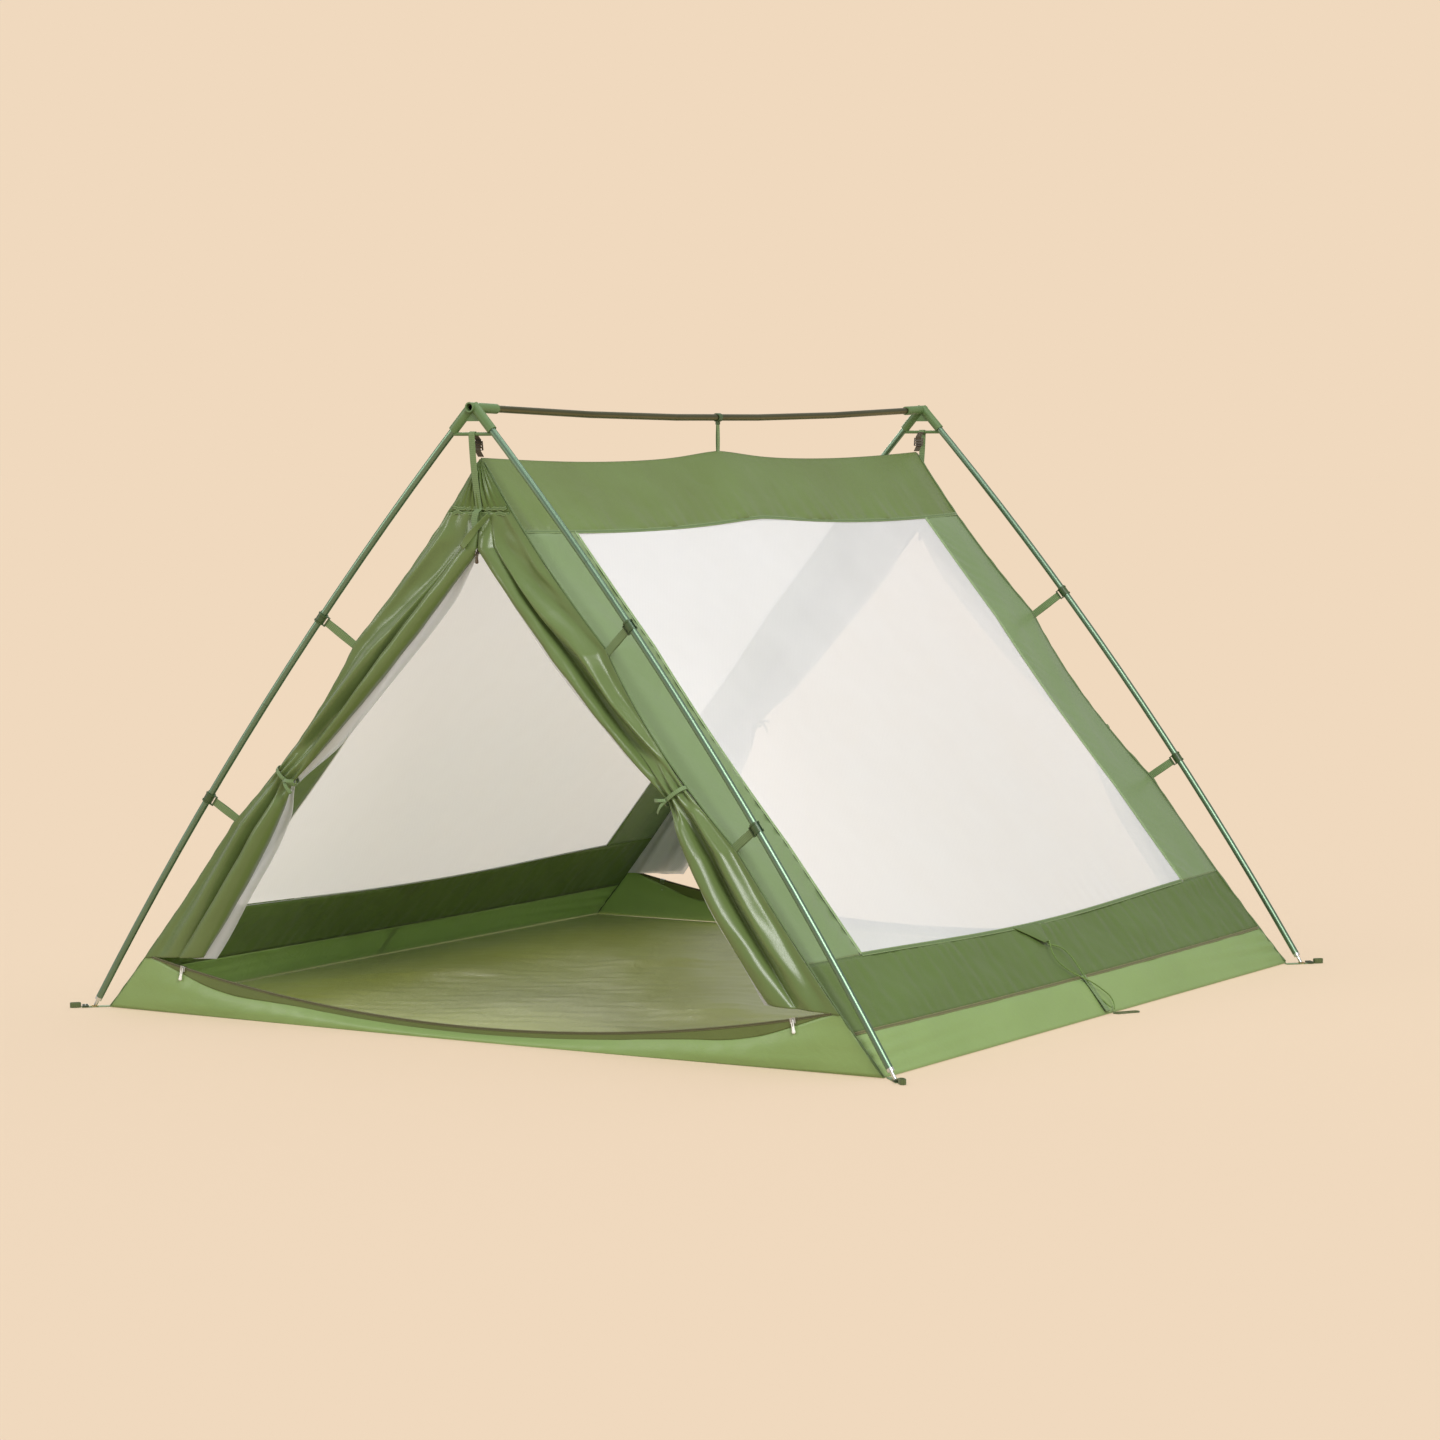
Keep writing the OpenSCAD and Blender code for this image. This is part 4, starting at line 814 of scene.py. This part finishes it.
# ---- poles, hubs and foot tips ----
# Drawn aluminium tube, anodised green for the legs and dark bronze for the ridge, joined by bare inserts.
# The hubs are moulded in one piece; each leg ends in a turned tip with a pin.

def on_node(names, material):
    """Gives CAD nodes a material in place of their own."""
    for name in names:
        mesh = frame["nodes"][name].data
        mesh.materials.clear()
        mesh.materials.append(material)


def metal(name, colour, rough, grain, strength=0.05, colour_2=None):
    """Metal with a fine satin grain in its gloss and its bump, and a slow change of tint."""
    material, tree = new_material(name)
    place = add(tree, "TexCoord")
    fine = add(tree, "TexNoise", {"Vector": place.outputs["Object"], "Scale": grain, "Detail": 2.0})
    slow = add(tree, "TexNoise", {"Vector": place.outputs["Object"], "Scale": 6.0, "Detail": 2.0})
    tint = add(tree, "Mix", {0: slow.outputs[0], 6: linear(colour), 7: linear(colour_2 or colour)},
               data_type="RGBA")
    gloss = add(tree, "MapRange", {0: fine.outputs[0], 3: rough - 0.03, 4: rough + 0.03})
    bump = add(tree, "Bump", {"Height": fine.outputs[0], "Strength": strength, "Distance": 0.0002})
    shader = principled(tree, tint.outputs[2], gloss.outputs[0], bump.outputs[0], {"Metallic": 1.0})
    output(tree, shader)
    return material


def moulded(name, colour, rough=0.42, grain=900.0, deep=None):
    """Moulded plastic: a slow change of tint, and spark-eroded grain in the bump, drawn coarser than real."""
    material, tree = new_material(name)
    place = add(tree, "TexCoord")
    fine = add(tree, "TexNoise", {"Vector": place.outputs["Object"], "Scale": grain, "Detail": 2.0})
    slow = add(tree, "TexNoise", {"Vector": place.outputs["Object"], "Scale": 30.0, "Detail": 3.0})
    tint = add(tree, "Mix", {0: slow.outputs[0], 6: linear(colour), 7: linear(deep or colour)},
               data_type="RGBA")
    bump = add(tree, "Bump", {"Height": fine.outputs[0], "Strength": 0.15, "Distance": 0.0004})
    shader = principled(tree, tint.outputs[2], rough, bump.outputs[0], {"IOR": 1.49})
    output(tree, shader)
    return material


leg_tube = metal("anodised_aluminium_green", "#7C9680", 0.40, 700.0, colour_2="#6B8269")
ridge_tube = metal("anodised_aluminium_bronze", "#6F6E4F", 0.34, 700.0, colour_2="#5C5A3C")
bare_tube = metal("mill_finish_aluminium", "#C4C7C2", 0.38, 700.0)
quarters = ["%s_%s" % (e, s) for e in ("front", "rear") for s in ("left", "right")]
on_node(["leg_pole_" + q for q in quarters], leg_tube)
on_node(["ridge_pole"], ridge_tube)
on_node(["pole_ferrules"], bare_tube)
on_node(["leg_tips"], metal("turned_aluminium", "#D6D8D2", 0.30, 900.0))
on_node(["hub_front", "hub_rear"], moulded("glass_filled_nylon_green", "#5C7846", 0.46, deep="#51693C"))
on_node(["shock_cords"], moulded("elastic_cord_black", "#202020", 0.8, 1500.0))


# ---- clips, buckles, grommets and zips ----
# Acetal clips snap onto the poles and swivel. Ladder buckles tighten the straps. The zip sliders are
# die-cast, with moulded teardrop pulls. A pressed grommet takes each foot's pin.

clip_plastic = moulded("acetal_dark_green", "#3F5530", 0.38, deep="#374B2A")
on_node(["leg_clips", "ridge_clip"], clip_plastic)
on_node(["apex_buckles"], moulded("acetal_brown", "#40341F", 0.35, deep="#352B1A"))
on_node(["corner_buckles"], moulded("acetal_olive", "#33422A", 0.4))
on_node(["corner_grommets"], metal("pressed_brass", "#C9B27C", 0.32, 500.0, colour_2="#B59C66"))
zip_metal = metal("die_cast_zinc", "#BDBFBA", 0.33, 900.0)
pull_plastic = moulded("moulded_pull_white", "#F1F0EA", 0.38, 1200.0)
on_node(["zip_slider_" + q for q in quarters] + ["apex_sliders"], zip_metal)
on_node(["zip_pull_" + q for q in quarters], pull_plastic)
on_node(["apex_pull_front", "apex_pull_rear"], moulded("moulded_pull_brown", "#4A3A24", 0.38, 1200.0))


# ---- webbing ----
# Polyester webbing and tape, woven plain, from 3 mm loops to 20 mm straps and 1.2 to 2.2 mm thick. It is
# sewn to the cloth, led through the clips and the ladder buckles, and tied round the door leaves.

def woven(name, colour, deep, pitch=0.0022):
    """Woven tape: ribs both ways, two pitches apart, two tints, and a bump from the ribs. The ribs are about
    three times as coarse as real ones."""
    material, tree = new_material(name)
    place = add(tree, "TexCoord")
    ribs = add(tree, "TexWave", {"Vector": place.outputs["UV"], "Scale": 0.314 / pitch / 2.0,
                                 "Distortion": 0.4, "Detail": 1.0}, bands_direction="Y")
    rows = add(tree, "TexWave", {"Vector": place.outputs["UV"], "Scale": 0.314 / pitch / 2.0,
                                 "Distortion": 0.3, "Detail": 1.0}, bands_direction="X")
    cross = add(tree, "Math", {0: ribs.outputs["Fac"], 1: rows.outputs["Fac"]}, operation="MULTIPLY")
    tint = add(tree, "Mix", {0: cross.outputs[0], 6: linear(deep), 7: linear(colour)}, data_type="RGBA")
    bump = add(tree, "Bump", {"Height": cross.outputs[0], "Strength": 0.5, "Distance": 0.0005})
    shader = principled(tree, tint.outputs[2], 0.62, bump.outputs[0], {"Sheen Weight": 0.2})
    output(tree, shader)
    return material


def strap(name, path, width, across, thick=0.0016):
    """Flat strap along a path: each ring is a rounded rectangle, width wide along across and thick over
    it."""
    path = np.asarray(path, float)
    along = np.gradient(path, axis=0)
    along /= np.linalg.norm(along, axis=1, keepdims=True)
    wide = np.broadcast_to(np.asarray(across, float), along.shape)
    wide = wide - along * (along * wide).sum(1, keepdims=True)
    wide = wide / np.linalg.norm(wide, axis=1, keepdims=True)
    over = np.cross(wide, along)
    a = np.linspace(0, 2 * np.pi, 20, endpoint=False)
    flat = np.sign(np.cos(a)) * np.abs(np.cos(a)) ** 0.35
    high = np.sign(np.sin(a)) * np.abs(np.sin(a)) ** 0.5
    width = np.broadcast_to(width, len(path))[:, None]
    rings = path[:, None] + wide[:, None] * (flat * width / 2)[..., None] + over[:, None] * (
        high[None, :, None] * thick / 2)
    rings = capped(rings)
    run = lengths_along(path)
    run = np.concatenate([[run[0]], run, [run[-1]]])
    uv = np.stack(np.broadcast_arrays((flat * 0.01)[None], run[:, None]), axis=-1)
    return merge_doubles(surface_mesh(name, rings, uv, wrap=True))


def stitched(name, colour, deep, thread):
    """Tape with a row of stitches near each edge: dashes of 2.5 mm, one every 4 mm."""
    material, tree = new_material(name)
    place = add(tree, "TexCoord")
    parts = add(tree, "SeparateXYZ", {"Vector": place.outputs["UV"]})
    half = add(tree, "Math", {0: parts.outputs["X"]}, operation="ABSOLUTE")
    row = add(tree, "Math", {0: half.outputs[0], 1: 0.0068, 2: 0.0010}, operation="COMPARE")
    step = add(tree, "Math", {0: parts.outputs["Y"], 1: 250.0}, operation="MULTIPLY")
    dash = add(tree, "Math", {0: step.outputs[0]}, operation="FRACT")
    gap = add(tree, "Math", {0: dash.outputs[0], 1: 0.62}, operation="LESS_THAN")
    stitch = add(tree, "Math", {0: row.outputs[0], 1: gap.outputs[0]}, operation="MULTIPLY")
    blotch = add(tree, "TexNoise", {"Vector": place.outputs["UV"], "Scale": 60.0, "Detail": 3.0})
    cloth = add(tree, "Mix", {0: blotch.outputs[0], 6: linear(colour), 7: linear(deep)}, data_type="RGBA")
    tint = add(tree, "Mix", {0: stitch.outputs[0], 6: cloth.outputs[2], 7: linear(thread)}, data_type="RGBA")
    relief = add(tree, "Math", {0: stitch.outputs[0], 1: 0.6, 2: blotch.outputs[0]}, operation="MULTIPLY_ADD")
    bump = add(tree, "Bump", {"Height": relief.outputs[0], "Strength": 0.4, "Distance": 0.0006})
    shader = principled(tree, tint.outputs[2], 0.5, bump.outputs[0], {"Sheen Weight": 0.15})
    output(tree, shader)
    return material


webbing = woven("polyester_webbing_sage", "#7C9560", "#5C7446")
olive_webbing = woven("polyester_webbing_olive", "#5E6E3C", "#48562C")
dark_webbing = woven("polyester_webbing_brown", "#4C4024", "#392F1A")
WEB_W, PEAK_W, LEAD_W, LOOP_W, TIE_TAPE_W = 0.020, 0.0165, 0.016, 0.012, 0.009
corners_of = [(q, dict(left=q.endswith("left"), rear=q.startswith("rear"))) for q in quarters]
X_WAY, Z_WAY = np.array([1.0, 0, 0]), np.array([0, 0, 1.0])


def node_points(name, side=None, end=None):
    """A CAD node's vertices, only those at the right or the front where side or end says so."""
    p = np.array([v.co for v in frame["nodes"][name].data.vertices])
    keep = np.ones(len(p), bool)
    if side == "right":
        keep &= p[:, 0] > 0
    if end == "front":
        keep &= p[:, 1] < 0
    return p[keep]


def between(a, b, steps=16):
    """Straight run of points from a to b."""
    return np.asarray(a) + (np.asarray(b) - np.asarray(a)) * np.linspace(0, 1, steps)[:, None]


# Each clip tab is a folded tape from the wall's edge to the slot in its clip
tab_points = node_points("clip_tabs", "right", "front")
middle_z = tab_points[:, 2].mean()
for height, group in (("lower", tab_points[tab_points[:, 2] < middle_z]),
                      ("upper", tab_points[tab_points[:, 2] > middle_z])):
    corners = np.unique(np.round(group, 5), axis=0)
    middle = corners.mean(0)
    ways = np.linalg.svd(corners - middle)[2]
    reach = np.abs((corners - middle) @ ways.T).max(0)
    out = ways[np.argmax([abs(w @ WALL_OUT) for w in ways])]
    out = out * np.sign(out @ WALL_OUT)
    reach_out = np.abs((corners - middle) @ out).max()
    others = [w for w in ways if abs(w @ out) < 0.5]
    thin = min(others, key=lambda w: np.abs((corners - middle) @ w).max())
    wide = np.cross(out, thin)
    t = np.linspace(0, 1, 20)[:, None]
    run = middle - out * (reach_out + 0.006) + out * (2 * reach_out + 0.0105) * t
    for quarter, flip in corners_of:
        for layer, sign in (("outer", 1), ("inner", -1)):
            line = run + thin * sign * (0.0009 + 0.0014 * np.sin(np.pi * t) ** 2)
            piece = strap("clip_tape_%s_%s_%s" % (height, layer, quarter), mirror_points(line, **flip),
                          WEB_W * 0.92, mirror_points(wide, **flip), thick=0.0013)
            finish_cloth(piece, webbing)
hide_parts("clip_tabs")

# The ridge strap hangs from the ridge clip's lug, looped through it
foot, top = node_points("ridge_strap")[:, 2].min(), node_points("ridge_strap")[:, 2].max()
for layer, sign in (("outer", 1), ("inner", -1)):
    t = np.linspace(0, 1, 16)[:, None]
    line = np.array([0, 0, foot - 0.006]) + Z_WAY * (top - foot + 0.010) * t
    line = line + X_WAY * sign * (0.0008 + 0.0012 * np.sin(np.pi * t))
    piece = strap("ridge_tape_" + layer, line, 0.012, (0, 1, 0), thick=0.0012)
    finish_cloth(piece, webbing, nodes=["ridge_strap"] if sign > 0 else ())

# At each peak a strap is wrapped round the crossbar. One end hangs down over the gusset, the other goes
# through the ladder buckle to the peak
WRAP_R = 0.0052
strap_points = node_points("apex_straps", end="front")
wrap_top = strap_points[:, 2].max()
bar = np.array([0, strap_points[strap_points[:, 2] > wrap_top - 0.0004][:, 1].mean(), wrap_top - 0.0059])
tail = strap_points[strap_points[:, 2] < strap_points[:, 2].min() + 0.002].mean(0) * [0, 1, 1]
buckle = node_points("apex_buckles", end="front").mean(0) * [0, 1, 1]
peak = np.array([0, -peak_y, ridge_z + 0.0015])
turn_a = np.radians(np.linspace(-20, 190, 24))[:, None]
wrap = bar + WRAP_R * (np.cos(turn_a) * [0, 1, 0] + np.sin(turn_a) * Z_WAY)
t = np.linspace(0, 1, 40)[1:, None]
hang = wrap[-1] + (tail - wrap[-1]) * t + [0, -0.004, 0] * np.sin(np.pi * t)
low = end_point(0 * t[:12], gusset_z + 0.004 - 0.045 * t[:12] / t[11], 0.0145)[:, 0]
low = low + [-0.006, 0, 0] * np.sin(np.pi * t[:12] / t[11])
for end, rear, seed in ends:
    line = mirror_points(np.concatenate([wrap, hang, low]), rear=rear)
    piece = strap("peak_strap_" + end, line, PEAK_W, X_WAY, thick=0.0014)
    finish_cloth(piece, webbing, nodes=["apex_straps"] if not rear else ())
    lead = between(bar + [0, WRAP_R, 0], buckle + [0, 0.0012, 0.013])
    through = between(buckle + [0, 0.0012, 0.013], buckle + [0, -0.0012, -0.011])
    down = between(buckle + [0, -0.0012, -0.011], peak)
    line = mirror_points(np.concatenate([lead, through[1:], down[1:]]), rear=rear)
    piece = strap("peak_lead_" + end, line, LEAD_W, X_WAY, thick=0.0014)
    finish_cloth(piece, dark_webbing)

# Corner straps: cut round the grommet, from the tub's corner to the stake loop
foot_at = node_points("corner_grommets", "right", "front").mean(0) * [1, 1, 0]
diagonal, square = np.array([1, -1, 0]) / np.sqrt(2), np.array([1, 1, 0]) / np.sqrt(2)
strap_ends = (node_points("corner_straps", "right", "front") - foot_at) @ diagonal
hole = 0.0068  # radius of the grommet's hole
a = np.linspace(0, 2 * np.pi, 96, endpoint=False)
cos_a, sin_a = np.cos(a), np.sin(a)
far = np.where(cos_a > 0, strap_ends.max(), -strap_ends.min() + 0.004) / np.maximum(np.abs(cos_a), 1e-6)
far = np.minimum(far, WEB_W / 2 / np.maximum(np.abs(sin_a), 1e-6))
LOOP_AWAY = 0.044
loop_at = foot_at + diagonal * LOOP_AWAY
for quarter, flip in corners_of:
    radius = hole + (far - hole) * np.linspace(0, 1, 12)[:, None]
    local = np.stack([radius * cos_a, radius * sin_a], axis=-1)
    points = foot_at + local[..., :1] * diagonal + local[..., 1:] * square + Z_WAY * 0.0010
    if flip["left"] != flip["rear"]:
        points, local = points[:, ::-1], local[:, ::-1]
    points = mirror_points(points, **flip)[::-1]
    piece = surface_mesh("corner_strap_" + quarter, points, local[::-1].copy(), wrap=True)
    finish_cloth(piece, webbing, thickness=0.0015,
                 nodes=["corner_straps"] if quarter == "front_right" else ())
    b = np.linspace(0, 2 * np.pi, 60)
    oval = loop_at + ((0.006 * np.sign(np.cos(b)) + 0.0062 * np.cos(b))[:, None] * diagonal
                      + (0.0062 * np.sin(b))[:, None] * square) + Z_WAY * 0.006
    piece = strap("stake_loop_tape_" + quarter, mirror_points(oval, **flip), LOOP_W, Z_WAY, thick=0.0016)
    finish_cloth(piece, olive_webbing,
                 nodes=["stake_loops"] if quarter == "front_right" else ())

# Ties round the gathered leaves: a tape and the two short ends of its knot
centre = end_point(tie_seam[0] + INWARD[0] * 0.030, tie_seam[1] + INWARD[1] * 0.030, 0.004).reshape(3)
inward = np.array([INWARD[0], 0, INWARD[1]])
front_way = np.array([0, -1.0, 0])
down_seam = np.array([np.sin(seam_tilt), 0, -np.cos(seam_tilt)])
for quarter, flip in corners_of:
    b = np.linspace(0, 2 * np.pi, 48)[:, None]
    ring = centre + inward * 0.031 * np.cos(b) + front_way * 0.024 * np.sin(b) - down_seam * 0.004
    piece = strap("tie_tape_" + quarter, mirror_points(ring, **flip), TIE_TAPE_W,
                  mirror_points(down_seam, **flip), 0.0015)
    finish_cloth(piece, webbing, nodes=["door_ties"] if quarter == "front_right" else ())
    knot = centre + front_way * 0.026 + inward * 0.012 - down_seam * 0.004
    for number, way in enumerate((inward * 0.034 + down_seam * 0.010, inward * 0.022 - down_seam * 0.016)):
        t = np.linspace(0, 1, 12)[:, None]
        line = knot + way * t + front_way * 0.006 * np.sin(np.pi * t)
        piece = strap("tie_end_%d_%s" % (number, quarter), mirror_points(line, **flip), 0.008,
                      mirror_points(down_seam + front_way * 0.4, **flip), 0.0014)
        finish_cloth(piece, webbing)

# Guy tabs and the tapes and loops of the long sides
tab = node_points("side_guy_tabs", "right")
tab_y, tab_z = tab[:, 1], tab[:, 2]
tip = tab[tab_z < tab_z.min() + 0.004]
tip_y = (tip[:, 1].min(), tip[:, 1].max())
for side, left, seed in sides:
    up, across = np.meshgrid(np.linspace(0, 1, 24), np.linspace(0, 1, 24), indexing="ij")
    high_y = tab_y.min() + (tab_y.max() - tab_y.min()) * across
    low_y = tip_y[0] + (tip_y[1] - tip_y[0]) * across
    y = low_y + (high_y - low_y) * up
    z_top = band_seam(high_y)
    z = tab_z.min() + 0.001 + (z_top - tab_z.min() - 0.001) * up
    stand = 0.0015 + 0.0075 * (1 - up) ** 0.8 + 0.002 * np.sin(np.pi * across) * np.sin(np.pi * up)
    points, uv = side_point(y, z, stand), np.stack([y, z], axis=-1)
    points, uv = mirrored(points, uv, left=left)
    piece = surface_mesh("guy_tab_cloth_" + side, points, uv)
    finish_cloth(piece, band_cloth, thickness=0.0014, nodes=() if left else ["side_guy_tabs"])
    tape = side_point(np.full(20, 0.016), np.linspace(0.004, 0.084, 20), 0.0075)
    piece = strap("tub_tape_" + side, mirror_points(tape, left=left), WEB_W, (0, 1, 0), 0.0012)
    finish_cloth(piece, webbing, nodes=["side_stake_loops"] if not left else ())
    b = np.linspace(0, 2 * np.pi, 72)[:, None]
    heading = np.array([np.cos(np.radians(58)), np.sin(np.radians(58)), 0])
    beside = np.array([-heading[1], heading[0], 0])
    start = np.array([side_x + 0.008, 0.034, 0.0016]) + heading * 0.033
    oval = start + heading * (0.024 * np.sign(np.cos(b)) + 0.0095 * np.cos(b)) + beside * 0.0095 * np.sin(b)
    piece = strap("ground_loop_" + side, mirror_points(oval, left=left), 0.003, Z_WAY, 0.0022)
    finish_cloth(piece, olive_webbing)


# ---- seams, hems and zip coils ----
# Flat-felled seams with two rows of stitches join the panels. A doubled hem runs up every edge beside the
# doors, a coil zip edges each sill, and a storm flap covers the sliders at each door top.

SEAM_W, SEAM_T = 0.010, 0.0010
seam_tape = stitched("felled_seam_fern", "#566F38", "#4A6030", "#8FA468")
pale_tape = stitched("felled_seam_sage", "#7F9A66", "#708A58", "#C2D0A8")
dark_tape = stitched("bound_hem_olive", "#5A5A28", "#484A20", "#8C8C4C")
for side, left, seed in sides:
    y = np.linspace(-1, 1, 200)
    rows = (("window_foot", band_seam, SEAM_W, seam_tape, window_y),
            ("window_head", window_seam, SEAM_W, seam_tape, None),
            ("tub_top", tub_seam, 0.008, dark_tape, None))
    for title, height, width, cloth, limit in rows:
        run_y = y * (limit or half_length(height(0.0)) - 0.004)
        z = height(run_y)
        run_y = run_y if limit else y * (half_length(z) - 0.003)
        line = side_point(run_y, z, 0.0010)
        piece = strap("seam_%s_%s" % (title, side), mirror_points(line, left=left), width,
                      mirror_points(WALL_UP, left=left), SEAM_T)
        finish_cloth(piece, cloth)
    for end, sign in (("front", -1), ("rear", 1)):
        z = np.linspace(float(band_seam(window_y)), float(window_seam(window_y)), 120)
        line = side_point(np.full(120, sign * window_y), z, 0.0010)
        piece = strap("seam_window_%s_%s" % (end, side), mirror_points(line, left=left), SEAM_W, (0, 1, 0),
                      SEAM_T)
        finish_cloth(piece, pale_tape)
        z = np.linspace(0.004, ridge_z - 0.012, 260)
        y_edge = sign * half_length(z)
        line = side_point(y_edge * 0.9985, z, 0.0006)
        piece = tube("edge_hem_%s_%s" % (end, side), mirror_points(line, left=left),
                     0.0026 + 0.0006 * ripples(z, 0 * z, 0.03, seed + sign), (0, 1, 0), 10)
        finish_cloth(piece, seam_tape)

coil = stitched("coil_zip_nylon", "#4A4A26", "#3A3A1C", "#8A8A58")
for end, rear, seed in ends:
    x = np.linspace(0.004 - corner_x, corner_x - 0.004, 240)
    line = end_point(x, sill_z(x) - 0.001, 0.0012)
    piece = strap("sill_zip_" + end, mirror_points(line, rear=rear), 0.006, Z_WAY, 0.0026)
    finish_cloth(piece, coil)
    x = np.linspace(-0.085, 0.085, 40)
    for number, height in enumerate((gusset_z - 0.003, gusset_z + 0.008)):
        line = end_point(x, np.full(40, height) + 0.0015 * ripples(x, 0 * x, 0.02, seed + number), 0.0045)
        line[:, 0] = line[:, 0] * edge_x(height) / 0.092
        piece = strap("gusset_seam_%d_%s" % (number, end), mirror_points(line, rear=rear), 0.008, Z_WAY,
                      0.0012)
        finish_cloth(piece, seam_tape)
    flap = between(end_point(0.030, gusset_z - 0.006, 0.010), end_point(-0.030, apex_z + 0.006, 0.027), 20)
    flap = flap + np.array([0, -0.007, 0]) * np.sin(np.pi * np.linspace(0, 1, 20))[:, None]
    piece = strap("storm_flap_" + end, mirror_points(flap, rear=rear), 0.015, (0.6, 0, 1.0), 0.0024)
    finish_cloth(piece, door_cloth)
